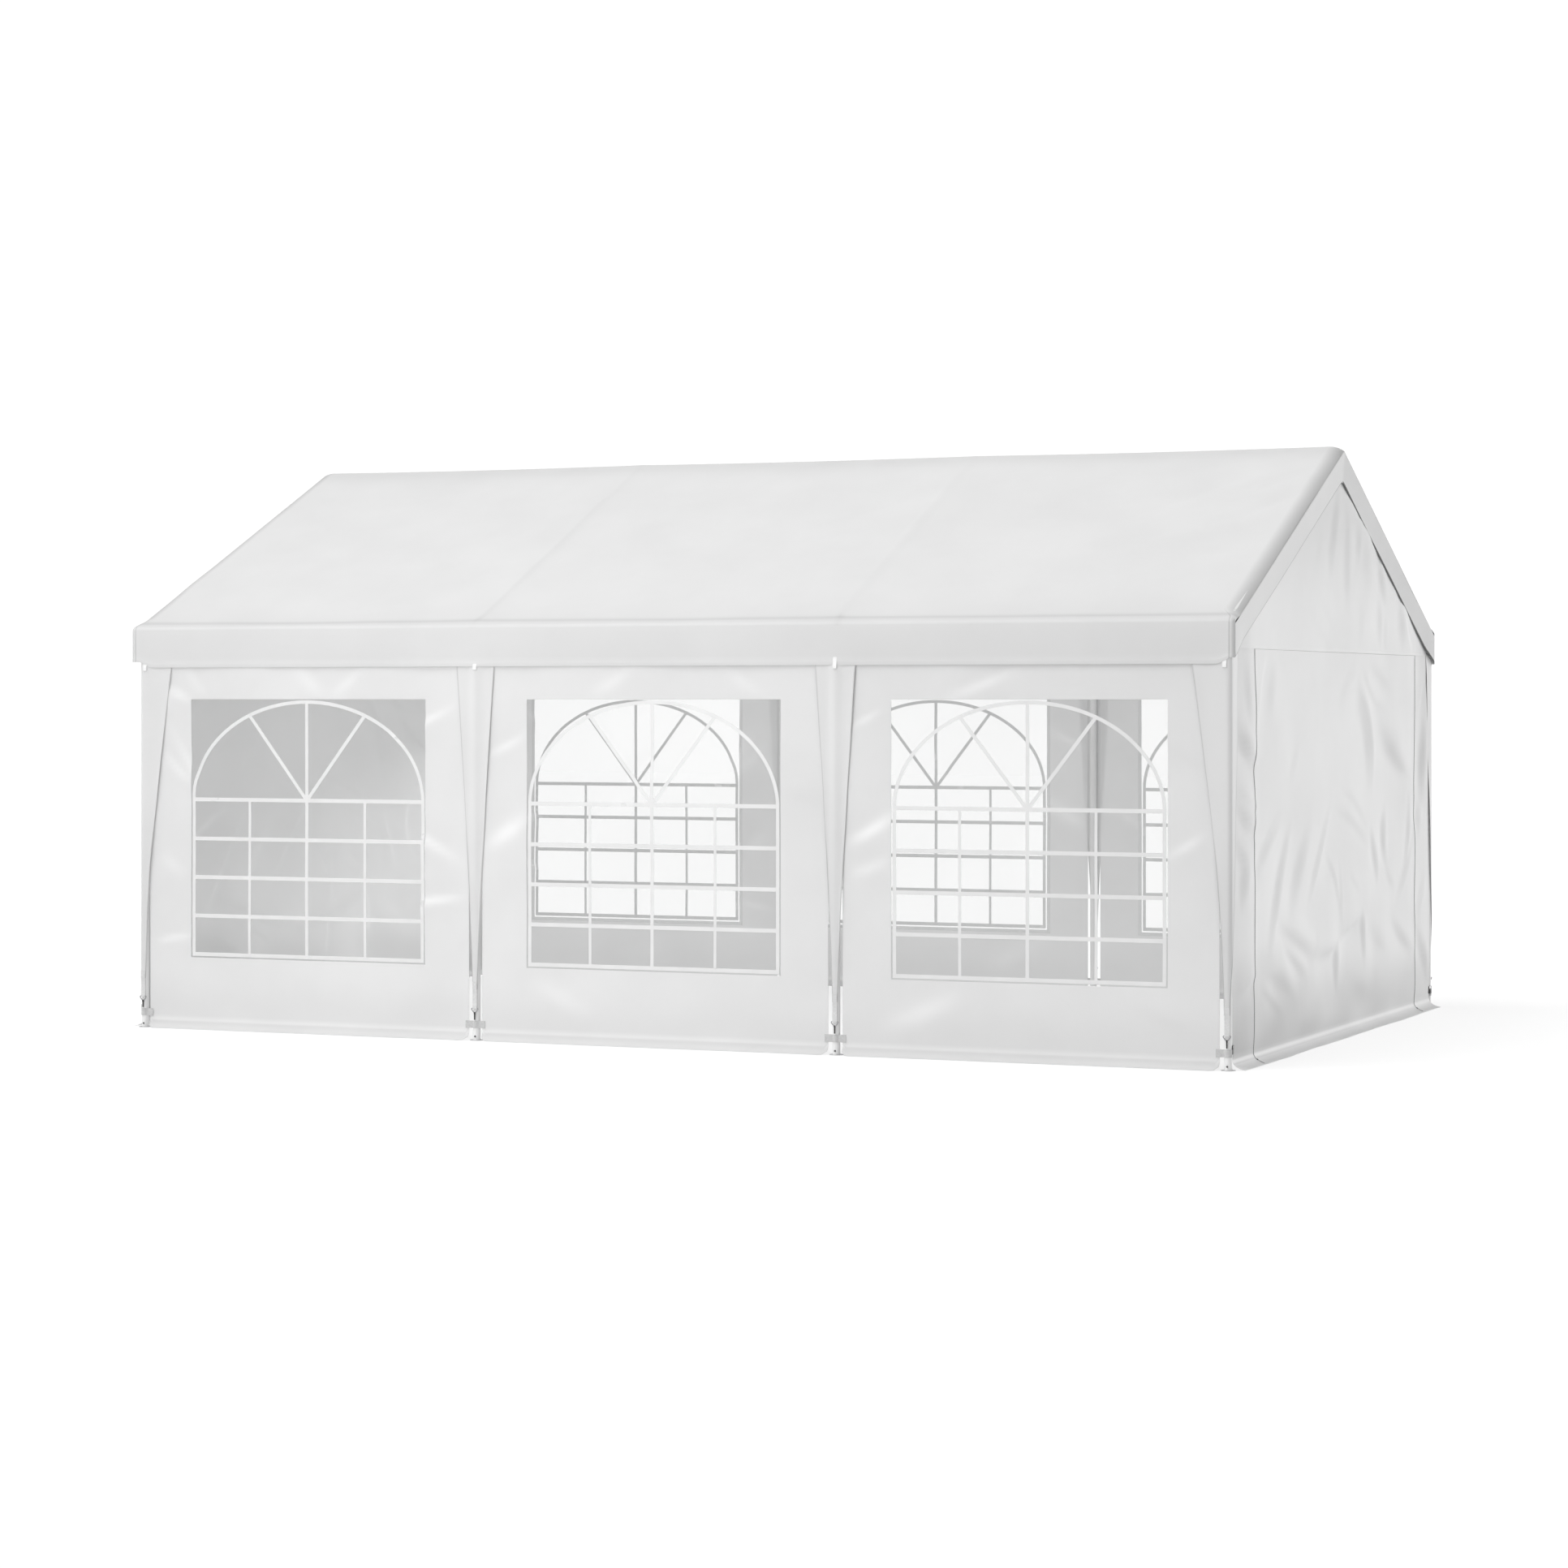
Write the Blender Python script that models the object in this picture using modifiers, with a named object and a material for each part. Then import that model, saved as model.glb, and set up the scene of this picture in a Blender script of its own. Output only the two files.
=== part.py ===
"""A white marquee tent, 6 m by 4 m, on a steel tube frame.

Eight posts stand on foot plates and carry an eave rail on each long side. Four pairs of
rafters rise from the eave rails to a ridge rail. A roof cover lies over the tubes and hangs
down as a valance, and a tapered leg cover runs down each post. Three window walls hang on
each long side, and each gable is closed by a wall with a wide zipped door.

X runs along the tent, Y across it and Z up, in metres. The origin is on the ground under
the middle of the tent.
"""

import math

import bmesh
import bpy
from mathutils import Matrix, Vector

# Overall sizes
LENGTH = 6.0
WIDTH = 4.0
EAVE_HEIGHT = 2.10
RIDGE_HEIGHT = 3.01
BAYS = 3

# Steel tube
TUBE_RADIUS = 0.019
TUBE_WALL = 0.0015
SLEEVE_RADIUS = 0.0215
POST_ARM_RADIUS = 0.0210
RAFTER_ARM_RADIUS = 0.0205
ARM_LENGTH = 0.10
ROUND_SIDES = 16

# Cloth and clear film
FABRIC = 0.003
FILM = 0.002
GAP = 0.0003
ARC_STEPS = 5
CUT_MARGIN = 0.1
WELD = 0.00001
SHARP_ANGLE = 40

# Roof cover
EAVE_LIP = 0.02
VALANCE_BOTTOM = 1.905
GABLE_VALANCE_DROP = 0.19

# Leg covers
LEG_TOP_MIDDLE = 0.107
LEG_TOP_CORNER = 0.165
LEG_FOOT_HALF = 0.020
LEG_BOTTOM = 0.26
LEG_CURVE = 1.3
STRAP_HALF = 0.0125
STRAP_STEP = 0.002
STRAP_BOTTOM = 0.16
LEG_STEPS = 8

# Walls
WALL_OUTER = 0.012
WALL_BESIDE_POST = 0.038
GABLE_BESIDE_POST = 0.075
WALL_SKIRT = 0.040
GABLE_SKIRT = 0.065
SKIRT_LIFT = 0.0005

# Windows
WINDOW_HALF = 0.70
WINDOW_BOTTOM = 0.378
WINDOW_TOP = 1.738
FILM_LAP = 0.020

# Gable door
DOOR_HALF = 1.60
DOOR_TOP = 1.98

# Feet
PLATE_RADIUS = 0.035
PLATE_THICKNESS = 0.003
SPIGOT_LENGTH = 0.05

# Worked out from the sizes above
SKIN_INNER = SLEEVE_RADIUS + GAP
SKIN_OUTER = SKIN_INNER + FABRIC
POST_X_END = LENGTH / 2 - SKIN_OUTER
POST_Y = WIDTH / 2 - SKIN_OUTER
BAY = 2 * POST_X_END / BAYS
POST_XS = [-POST_X_END + i * BAY for i in range(BAYS + 1)]
RISE = RIDGE_HEIGHT - EAVE_HEIGHT
SLOPE = math.atan2(RISE, POST_Y)
LEG_OUT = TUBE_RADIUS + GAP + FABRIC
WALL_INNER = WALL_OUTER - FABRIC
WALL_TOP_DROP = math.sqrt(SLEEVE_RADIUS**2 - WALL_INNER**2) + GAP
SIDES = {"front": -1, "back": 1}
ENDS = {"left": -1, "right": 1}

ROOF_CLOTH = ("roof_cloth", (0.88, 0.88, 0.88, 1.0), 0.55, 0.0)
WALL_CLOTH = ("wall_cloth", (0.86, 0.86, 0.86, 1.0), 0.5, 0.0)
CLEAR_FILM = ("clear_film", (0.85, 0.87, 0.88, 0.3), 0.15, 0.0)
WHITE_STEEL = ("white_steel", (0.82, 0.82, 0.82, 1.0), 0.35, 0.2)
PLATE_STEEL = ("plate_steel", (0.70, 0.70, 0.70, 1.0), 0.4, 0.6)


def clear_scene():
    for obj in list(bpy.data.objects):
        bpy.data.objects.remove(obj, do_unlink=True)


def new_collection(name):
    collection = bpy.data.collections.new(name)
    bpy.context.scene.collection.children.link(collection)
    return collection


clear_scene()
TENT = new_collection("marquee_tent")
CUTTERS = new_collection("cutters")


def material(spec):
    """The Principled material of a spec (name, colour with alpha, roughness, metallic)."""
    name, colour, roughness, metallic = spec
    found = bpy.data.materials.get(name)
    if found:
        return found
    made = bpy.data.materials.new(name)
    made.use_nodes = True
    shader = made.node_tree.nodes["Principled BSDF"]
    shader.inputs["Base Color"].default_value = colour
    shader.inputs["Alpha"].default_value = colour[3]
    shader.inputs["Roughness"].default_value = roughness
    shader.inputs["Metallic"].default_value = metallic
    return made


def add_object(name, mesh, spec):
    obj = bpy.data.objects.new(name, mesh)
    TENT.objects.link(obj)
    mesh.materials.append(material(spec))
    return obj


def as_helper(obj):
    """Makes an object a tool for a Boolean, kept out of the render."""
    TENT.objects.unlink(obj)
    CUTTERS.objects.link(obj)
    obj.hide_render = True
    obj.display_type = "WIRE"
    return obj


def smooth(mesh):
    mesh.shade_smooth()
    mesh.set_sharp_from_angle(angle=math.radians(SHARP_ANGLE))


def aim(start, end):
    """A matrix that stands local Z on the line from start to end, at start."""
    turn = (Vector(end) - Vector(start)).to_track_quat("Z", "Y")
    return Matrix.Translation(start) @ turn.to_matrix().to_4x4()


def bar(name, start, end, radius, spec):
    """A solid round bar from start to end."""
    length = (Vector(end) - Vector(start)).length
    bm = bmesh.new()
    bmesh.ops.create_cone(
        bm, cap_ends=True, segments=ROUND_SIDES, radius1=radius, radius2=radius, depth=length,
        matrix=Matrix.Translation((0, 0, length / 2)),
    )
    mesh = bpy.data.meshes.new(name)
    bm.to_mesh(mesh)
    bm.free()
    smooth(mesh)
    obj = add_object(name, mesh, spec)
    obj.matrix_world = aim(start, end)
    return obj


def tube(name, start, end, radius, wall, spec):
    """A hollow tube from start to end, turned from the outline of its wall."""
    length = (Vector(end) - Vector(start)).length
    inner = radius - wall
    outline = [(radius, 0, length), (radius, 0, 0), (inner, 0, 0), (inner, 0, length)]
    mesh = bpy.data.meshes.new(name)
    mesh.from_pydata(outline, [(0, 1), (1, 2), (2, 3), (3, 0)], [])
    obj = add_object(name, mesh, spec)
    obj.matrix_world = aim(start, end)
    screw = obj.modifiers.new("turn", "SCREW")
    screw.axis = "Z"
    screw.steps = ROUND_SIDES
    screw.render_steps = ROUND_SIDES
    screw.use_merge_vertices = True
    screw.merge_threshold = WELD
    return obj


def box(name, low, high, spec):
    """A box between two corners."""
    bm = bmesh.new()
    size = Vector(high) - Vector(low)
    centre = (Vector(high) + Vector(low)) / 2
    bmesh.ops.create_cube(bm, size=1, matrix=Matrix.Diagonal((*size, 1)))
    mesh = bpy.data.meshes.new(name)
    bm.to_mesh(mesh)
    bm.free()
    obj = add_object(name, mesh, spec)
    obj.location = centre
    return obj


def plate(name, outline, thickness, x, spec):
    """A flat plate in the YZ plane: a closed outline of (y, z) points, its middle at x."""
    curve = bpy.data.curves.new(name, "CURVE")
    curve.dimensions = "2D"
    curve.fill_mode = "BOTH"
    curve.extrude = thickness / 2
    spline = curve.splines.new("POLY")
    spline.points.add(len(outline) - 1)
    for point, (y, z) in zip(spline.points, outline):
        point.co = (y, z, 0, 1)
    spline.use_cyclic_u = True
    obj = add_object(name, curve, spec)
    across, up, along = Vector((0, 1, 0)), Vector((0, 0, 1)), Vector((1, 0, 0))
    obj.matrix_world = Matrix.Translation((x, 0, 0)) @ Matrix((across, up, along)).transposed().to_4x4()
    return obj


def as_mesh(obj):
    """The curve object as a mesh object of the same name, with its caps welded."""
    graph = bpy.context.evaluated_depsgraph_get()
    mesh = bpy.data.meshes.new_from_object(obj.evaluated_get(graph))
    bm = bmesh.new()
    bm.from_mesh(mesh)
    bmesh.ops.remove_doubles(bm, verts=bm.verts, dist=WELD)
    bm.to_mesh(mesh)
    bm.free()
    name, place = obj.name, obj.matrix_world.copy()
    bpy.data.objects.remove(obj, do_unlink=True)
    made = bpy.data.objects.new(name, mesh)
    TENT.objects.link(made)
    made.matrix_world = place
    return made


def lofted_sheet(name, rows, facing, spec):
    """A sheet of cloth: a grid whose rows of points are given from one end to the other.

    facing is roughly the way the outer side looks; the thickness goes in behind it.
    """
    bm = bmesh.new()
    bmesh.ops.create_grid(bm, x_segments=len(rows[0]) - 1, y_segments=len(rows) - 1, size=0.5)
    points = [point for row in rows for point in row]
    for vert, point in zip(bm.verts, points, strict=True):
        vert.co = point
    bm.normal_update()
    outward = sum((face.normal for face in bm.faces), Vector())
    if outward.dot(Vector(facing)) < 0:
        bmesh.ops.reverse_faces(bm, faces=bm.faces)
    mesh = bpy.data.meshes.new(name)
    bm.to_mesh(mesh)
    bm.free()
    smooth(mesh)
    obj = add_object(name, mesh, spec)
    solid = obj.modifiers.new("thickness", "SOLIDIFY")
    solid.thickness = FABRIC
    solid.offset = -1
    solid.use_even_offset = True
    solid.use_quality_normals = True
    return obj


def combine(obj, others, operation):
    """Joins or cuts obj with other objects, which become helpers."""
    for i, other in enumerate(others):
        modifier = obj.modifiers.new(f"{operation.lower()}_{i}", "BOOLEAN")
        modifier.operation = operation
        modifier.solver = "EXACT"
        modifier.object = as_helper(other)
    return obj


def arc(centre, radius, first, last):
    """Points (u, v) of an arc from angle first to angle last, in degrees."""
    angles = [math.radians(first + (last - first) * i / ARC_STEPS) for i in range(ARC_STEPS + 1)]
    return [(centre[0] + radius * math.cos(a), centre[1] + radius * math.sin(a)) for a in angles]


def roof_line(side, radius):
    """The line of the roof cover at a distance from the tube centres, as (y, z) points.

    It runs from over the ridge, down the slope and round the eave rail to its short lip.
    """
    slope = math.degrees(SLOPE)
    over_ridge = arc((0, RIDGE_HEIGHT), radius, 90, 90 + slope)
    round_eave = arc((-POST_Y, EAVE_HEIGHT), radius, 90 + slope, 180)
    lip = [(-POST_Y - radius, EAVE_HEIGHT - EAVE_LIP)]
    return [(-side * y, z) for y, z in over_ridge + round_eave + lip]


def on_slope(x, side, distance):
    """A point on a rafter's axis, at a distance up from the eave."""
    y = side * (POST_Y - distance * math.cos(SLOPE))
    z = EAVE_HEIGHT + distance * math.sin(SLOPE)
    return Vector((x, y, z))


def rafter_run():
    """The distance along the slope from the eave rail's centre to the ridge rail's."""
    return math.hypot(POST_Y, RISE)


def make_posts():
    """Hollow posts, each over the spigot of a round foot plate."""
    post_low = PLATE_THICKNESS + GAP
    post_high = EAVE_HEIGHT - ARM_LENGTH - GAP
    spigot_low = PLATE_THICKNESS / 2
    spigot_high = PLATE_THICKNESS + SPIGOT_LENGTH
    spigot_radius = TUBE_RADIUS - TUBE_WALL - GAP
    for side_name, side in SIDES.items():
        y = side * POST_Y
        for i, x in enumerate(POST_XS, start=1):
            place = f"{side_name}_{i}"
            low, high = (x, y, post_low), (x, y, post_high)
            tube(f"post_{place}", low, high, TUBE_RADIUS, TUBE_WALL, WHITE_STEEL)
            low, high = (x, y, 0), (x, y, PLATE_THICKNESS)
            foot = bar(f"foot_{place}", low, high, PLATE_RADIUS, PLATE_STEEL)
            low, high = (x, y, spigot_low), (x, y, spigot_high)
            spigot = bar(f"spigot_{place}", low, high, spigot_radius, PLATE_STEEL)
            combine(foot, [spigot], "UNION")


def sleeve_span(x):
    """The stretch along X that a connector's sleeve covers, cut short at a gable."""
    low = x - (TUBE_RADIUS if x == POST_XS[0] else ARM_LENGTH)
    high = x + (TUBE_RADIUS if x == POST_XS[-1] else ARM_LENGTH)
    return low, high


def make_rail(name, y, z, arms):
    """A long tube with a connector at each frame: a sleeve, and arms out to the other tubes.

    arms(x) lists the (end, radius) of each arm of the connector at x.
    """
    rail = bar(name, (POST_XS[0], y, z), (POST_XS[-1], y, z), TUBE_RADIUS, WHITE_STEEL)
    pieces = []
    for i, x in enumerate(POST_XS, start=1):
        low, high = sleeve_span(x)
        pieces.append(bar(f"{name}_sleeve_{i}", (low, y, z), (high, y, z), SLEEVE_RADIUS, WHITE_STEEL))
        for n, (end, radius) in enumerate(arms(x), start=1):
            pieces.append(bar(f"{name}_arm_{i}_{n}", (x, y, z), end, radius, WHITE_STEEL))
    combine(rail, pieces, "UNION")


def eave_arms(side):
    """The arms of an eave connector: down to the post, and up to the rafter."""

    def arms(x):
        down = (x, side * POST_Y, EAVE_HEIGHT - ARM_LENGTH)
        return [(down, POST_ARM_RADIUS), (on_slope(x, side, ARM_LENGTH), RAFTER_ARM_RADIUS)]

    return arms


def ridge_arms(x):
    """The arms of a ridge connector: one down to each rafter."""
    distance = rafter_run() - ARM_LENGTH
    return [(on_slope(x, side, distance), RAFTER_ARM_RADIUS) for side in SIDES.values()]


def make_rails():
    for side_name, side in SIDES.items():
        make_rail(f"eave_rail_{side_name}", side * POST_Y, EAVE_HEIGHT, eave_arms(side))
    make_rail("ridge_rail", 0, RIDGE_HEIGHT, ridge_arms)


def make_rafters():
    for side_name, side in SIDES.items():
        for i, x in enumerate(POST_XS, start=1):
            start = on_slope(x, side, ARM_LENGTH + GAP)
            end = on_slope(x, side, rafter_run() - ARM_LENGTH - GAP)
            tube(f"rafter_{side_name}_{i}", start, end, TUBE_RADIUS, TUBE_WALL, WHITE_STEEL)


def make_roof():
    """The two halves of the roof cover and the straight valances along the eaves."""
    ends = (-LENGTH / 2, LENGTH / 2)
    for side_name, side in SIDES.items():
        line = roof_line(side, SKIN_OUTER)
        line[0] = (side * GAP, line[0][1])
        rows = [[(x, y, z) for y, z in line] for x in ends]
        lofted_sheet(f"roof_{side_name}", rows, (0, 0, 1), ROOF_CLOTH)
        y = side * WIDTH / 2
        rows = [[(x, y, EAVE_HEIGHT - EAVE_LIP - GAP), (x, y, VALANCE_BOTTOM)] for x in ends]
        lofted_sheet(f"valance_{side_name}", rows, (0, side, 0), ROOF_CLOTH)


def valance_corner():
    """Half the width of a gable valance, which fits between the two long valances."""
    return POST_Y + SKIN_INNER - GAP


def gable_valance_edge(y):
    """The height of a gable valance's lower edge at y."""
    apex = RIDGE_HEIGHT + SKIN_OUTER / math.cos(SLOPE) - GABLE_VALANCE_DROP
    return apex - abs(y) * math.tan(SLOPE)


def make_gable_valances():
    """A strip under each end of the roof cover, parallel to the rafters."""
    corner = valance_corner()
    front = roof_line(-1, SKIN_INNER - GAP)
    back = roof_line(1, SKIN_INNER - GAP)
    lower = [(y, gable_valance_edge(y)) for y in (-corner, 0, corner)]
    outline = lower + back[::-1] + front[1:]
    for end_name, end in ENDS.items():
        x = end * (LENGTH / 2 - FABRIC / 2)
        plate(f"gable_valance_{end_name}", outline, FABRIC, x, ROOF_CLOTH)


def leg_half_width(z, top_half):
    """Half the width of a leg cover at a height: it narrows down the post in a shallow curve."""
    share = max(0.0, (z - LEG_BOTTOM) / (VALANCE_BOTTOM - LEG_BOTTOM))
    return LEG_FOOT_HALF + (top_half - LEG_FOOT_HALF) * share**LEG_CURVE


def leg_levels(top_half):
    """(height, half width) pairs from the valance down to the end of the strap."""
    top = VALANCE_BOTTOM - GAP
    heights = [top + (LEG_BOTTOM - top) * i / LEG_STEPS for i in range(LEG_STEPS + 1)]
    levels = [(z, leg_half_width(z, top_half)) for z in heights]
    return levels + [(LEG_BOTTOM - STRAP_STEP, STRAP_HALF), (STRAP_BOTTOM, STRAP_HALF)]


def corner_leg_rows(x, y, end, side):
    """The rows of a corner leg cover, folded round the corner at (x, y).

    Its top follows the long valance on one side and the sloping gable valance on the other.
    """
    rows = []
    for n, (z, half) in enumerate(leg_levels(LEG_TOP_CORNER)):
        lift = half * math.tan(SLOPE) if n == 0 else 0
        inner = (x + end * LEG_OUT, side * (POST_Y - half), z + lift)
        rows.append([(x - end * half, y, z), (x + end * LEG_OUT, y, z), inner])
    return rows


def middle_leg_rows(x, y):
    """The rows of a flat leg cover centred on x."""
    return [[(x - half, y, z), (x + half, y, z)] for z, half in leg_levels(LEG_TOP_MIDDLE)]


def make_legs():
    """The leg covers: flat over a middle post, folded round a corner post."""
    ends = {1: -1, len(POST_XS): 1}
    for side_name, side in SIDES.items():
        y = side * (POST_Y + LEG_OUT)
        for i, x in enumerate(POST_XS, start=1):
            end = ends.get(i, 0)
            rows = corner_leg_rows(x, y, end, side) if end else middle_leg_rows(x, y)
            lofted_sheet(f"leg_cover_{side_name}_{i}", rows, (end, side, 0), ROOF_CLOTH)


def wall_line(top, radius):
    """A wall's profile as (out, z) points: straight down, then curved out into the skirt."""
    low = SKIRT_LIFT + FABRIC
    curve = arc((WALL_OUTER + radius, low + radius), radius, 180, 270)
    return [(WALL_OUTER, top)] + curve


def make_window_walls():
    """Three walls on each long side, each with a window cut out and a film behind it."""
    line = wall_line(EAVE_HEIGHT - WALL_TOP_DROP, WALL_SKIRT)
    film_half = WINDOW_HALF + FILM_LAP
    film_outs = (WALL_INNER - GAP - FILM, WALL_INNER - GAP)
    for side_name, side in SIDES.items():
        cut_low, cut_high = sorted((side * (POST_Y - CUT_MARGIN), side * (POST_Y + CUT_MARGIN)))
        film_low, film_high = sorted(side * (POST_Y + out) for out in film_outs)
        for i, (low, high) in enumerate(zip(POST_XS, POST_XS[1:]), start=1):
            ends = (low + WALL_BESIDE_POST, high - WALL_BESIDE_POST)
            rows = [[(x, side * (POST_Y + out), z) for out, z in line] for x in ends]
            wall = lofted_sheet(f"wall_{side_name}_{i}", rows, (0, side, 0), WALL_CLOTH)
            middle = (low + high) / 2
            hole = box(
                f"window_hole_{side_name}_{i}",
                (middle - WINDOW_HALF, cut_low, WINDOW_BOTTOM),
                (middle + WINDOW_HALF, cut_high, WINDOW_TOP),
                WALL_CLOTH,
            )
            combine(wall, [hole], "DIFFERENCE")
            box(
                f"window_{side_name}_{i}",
                (middle - film_half, film_low, WINDOW_BOTTOM - FILM_LAP),
                (middle + film_half, film_high, WINDOW_TOP + FILM_LAP),
                CLEAR_FILM,
            )


def gable_edge(y):
    """The height of a gable wall's top edge at y, just under the rafters."""
    return RIDGE_HEIGHT - abs(y) * math.tan(SLOPE) - WALL_TOP_DROP / math.cos(SLOPE)


def gable_rows(end, top, half):
    """The rows of a sheet that hangs at a gable, from -half to half across the tent."""
    line = wall_line(top, GABLE_SKIRT)
    return [[(end * (POST_X_END + out), y, z) for out, z in line] for y in (-half, half)]


def make_gable_walls():
    """A wall at each end, cut to the roof's slope, with the zipped door in its opening."""
    half = POST_Y - GABLE_BESIDE_POST
    beyond = half + CUT_MARGIN
    over = RIDGE_HEIGHT + CUT_MARGIN
    above = [(y, gable_edge(y)) for y in (-beyond, 0, beyond)] + [(beyond, over), (-beyond, over)]
    for end_name, end in ENDS.items():
        x_low, x_high = sorted((end * (POST_X_END - CUT_MARGIN), end * (POST_X_END + CUT_MARGIN)))
        rows = gable_rows(end, RIDGE_HEIGHT, half)
        wall = lofted_sheet(f"gable_wall_{end_name}", rows, (end, 0, 0), WALL_CLOTH)
        sky = as_mesh(plate(f"sky_{end_name}", above, 2 * CUT_MARGIN, end * POST_X_END, WALL_CLOTH))
        low, high = (x_low, -DOOR_HALF, -CUT_MARGIN), (x_high, DOOR_HALF, DOOR_TOP)
        doorway = box(f"doorway_{end_name}", low, high, WALL_CLOTH)
        combine(wall, [sky, doorway], "DIFFERENCE")
        rows = gable_rows(end, DOOR_TOP - GAP, DOOR_HALF - GAP)
        lofted_sheet(f"gable_door_{end_name}", rows, (end, 0, 0), WALL_CLOTH)


make_posts()
make_rails()
make_rafters()
make_roof()
make_gable_valances()
make_legs()
make_window_walls()
make_gable_walls()
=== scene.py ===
"""A white marquee tent, 6 m by 4 m, dressed for a studio picture.

Each piece of cloth is a grid of points worked out with numpy and then given its thickness. The
tent has four sides. On each, across runs to the right as seen from outside, up is the height,
and out is the distance outwards from the line of the posts. Sizes are in metres.
"""

import math

import bpy
import numpy as np
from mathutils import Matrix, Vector


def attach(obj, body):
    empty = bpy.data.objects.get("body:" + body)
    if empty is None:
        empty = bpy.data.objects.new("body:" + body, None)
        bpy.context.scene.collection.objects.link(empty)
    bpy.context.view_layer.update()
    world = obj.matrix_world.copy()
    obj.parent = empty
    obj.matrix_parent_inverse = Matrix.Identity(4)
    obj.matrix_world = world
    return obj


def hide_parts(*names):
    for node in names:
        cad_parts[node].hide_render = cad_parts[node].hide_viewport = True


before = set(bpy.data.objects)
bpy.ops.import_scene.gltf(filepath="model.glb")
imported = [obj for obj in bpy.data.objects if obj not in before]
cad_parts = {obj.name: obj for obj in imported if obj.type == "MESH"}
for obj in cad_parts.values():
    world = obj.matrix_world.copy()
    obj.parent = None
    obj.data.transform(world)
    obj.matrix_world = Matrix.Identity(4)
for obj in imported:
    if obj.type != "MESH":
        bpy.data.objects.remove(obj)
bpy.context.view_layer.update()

# The steel frame
LENGTH = 6.0
WIDTH = 4.0
EAVE_HEIGHT = 2.10
RIDGE_HEIGHT = 3.01
BAYS = 3
TUBE_RADIUS = 0.019
COVER_RADIUS = 0.0248
POST_X = LENGTH / 2 - COVER_RADIUS
POST_Y = WIDTH / 2 - COVER_RADIUS
POST_XS = np.linspace(-POST_X, POST_X, BAYS + 1)
BAY = 2 * POST_X / BAYS
SLOPE = math.atan2(RIDGE_HEIGHT - EAVE_HEIGHT, POST_Y)

# Cloth
CLOTH = 0.0012
FILM = 0.0006
WEAVE_DEPTH = 0.0002
HEM_WIDTH = 0.022
HEM_HEIGHT = 0.0009
EDGE_STEP = 0.0015

# Roof cover
COVER_ENDS = {"left": LENGTH / 2 + 0.048, "right": LENGTH / 2 + 0.013}
CORNER_WIDTH = 0.024
CORNER_DEPTH = 0.020
CORNER_TURN = math.radians(75)
RAKE_WIDTH = 0.095
RAKE_DEPTH = 0.055
RAKE_TURN = math.radians(60)
CORNER_SHARE = 0.06
END_CALM = 0.20
END_SEAM = 0.0035
VALANCE_BOTTOM = 1.905
VALANCE_DROP = EAVE_HEIGHT - VALANCE_BOTTOM
VALANCE_CORNER_LIFT = 0.030
VALANCE_CORNER_WIDTH = 0.075
GABLE_VALANCE_DROP = 0.19
VALANCE_LEAN = 0.016
# The widths of the painted shadow lines along the lower edges of the gable strips
THIN_PAINTED_SHADOW_LINE = 0.0035
BROAD_PAINTED_SHADOW_LINE = 0.0125
RIDGE_ROUND = 0.014
RIDGE_LIFT = 0.010
ROOF_SAG = 0.013
RIDGE_SAG = 0.005
SLOPE_LENGTH = math.hypot(POST_Y, RIDGE_HEIGHT - EAVE_HEIGHT)

# Leg covers
LEG_TOP_MIDDLE = 0.107
LEG_TOP_LONG = 0.190
LEG_TOP_GABLE = 0.125
LEG_FOOT_HALF = 0.0145
LEG_BOTTOM = 0.26
LEG_CURVE = 1.3
LEG_OUT = 0.0223
LEG_WING_OUT = 0.0150
LEG_TUCK = 0.045
LEG_HEM = 0.008
LEG_HEM_HEIGHT = 0.0006

# The middles of the grip bands
BAND_UP = 0.082
GABLE_BAND_UP = 0.098

# Walls
WALL_OUT = 0.012
WALL_TOP = EAVE_HEIGHT - 0.0198
WALL_HALF = BAY / 2 - 0.038
WALL_SKIRT = 0.040
WALL_BEND_HEIGHT = 0.048
GABLE_HALF = POST_Y - 0.0205
GABLE_SKIRT = 0.068
GABLE_BEND_HEIGHT = 0.050
GABLE_TOP_DROP = 0.0218
GROUND_GAP = 0.0025
WALL_TRIM = 0.045
WALL_TRIM_REACH = 0.15

# How much paler the cloth of a wall is painted along its folds, as a painted highlight, for each metre that
# they stand out
FOLD_PAINTED_HIGHLIGHT = 9.0

# Windows
WINDOW_HALF = 0.70
WINDOW_BOTTOM = 0.378
WINDOW_TOP = 1.738
FILM_LAP = 0.020
BAR_INSET = 0.0075
BAR_WIDTH = 0.018
CROSS_BAR_WIDTH = 0.020
THIN_BAR_WIDTH = 0.015
BAR_HEIGHT = 0.0007
SPRING_HEIGHT = 1.211
CROSS_BAR_HEIGHTS = (1.211, 1.005, 0.802, 0.599, 0.396)
ARCH_HALF = 0.684
ARCH_RISE = 0.513
SPOKE_ACROSS = 0.345

# Gable door
DOOR_HALF = 1.60
DOOR_TOP = 1.98
SEAM_WIDTH = 0.014
DOOR_HEM = 0.012
DOOR_TOP_HEM = 0.010

# The zips: the pitch of their teeth, and how far along from the wall's lower edge the teeth end
TOOTH_STEP = 0.0032
TEETH_END = 0.055

SIDES = {
    "front": ((0, -1), POST_Y),
    "back": ((0, 1), POST_Y),
    "left": ((-1, 0), POST_X),
    "right": ((1, 0), POST_X),
}
LONG_SIDES = ("front", "back")
GABLES = ("left", "right")
GABLE_WAYS = {"right": 1, "left": -1}


# Numbers as arrays

def smoothstep(low, high, value):
    """A cubic step from 0 at low to 1 at high, level at both ends."""
    share = np.clip((value - low) / (high - low), 0, 1)
    return share * share * (3 - 2 * share)


def bell(distance, width):
    """A bell curve: 1 at no distance, and a little over a third at this width."""
    return np.exp(-((distance / width) ** 2))


def unit(vectors):
    """The direction of each vector, one long."""
    return vectors / np.linalg.norm(vectors, axis=1, keepdims=True)


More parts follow.
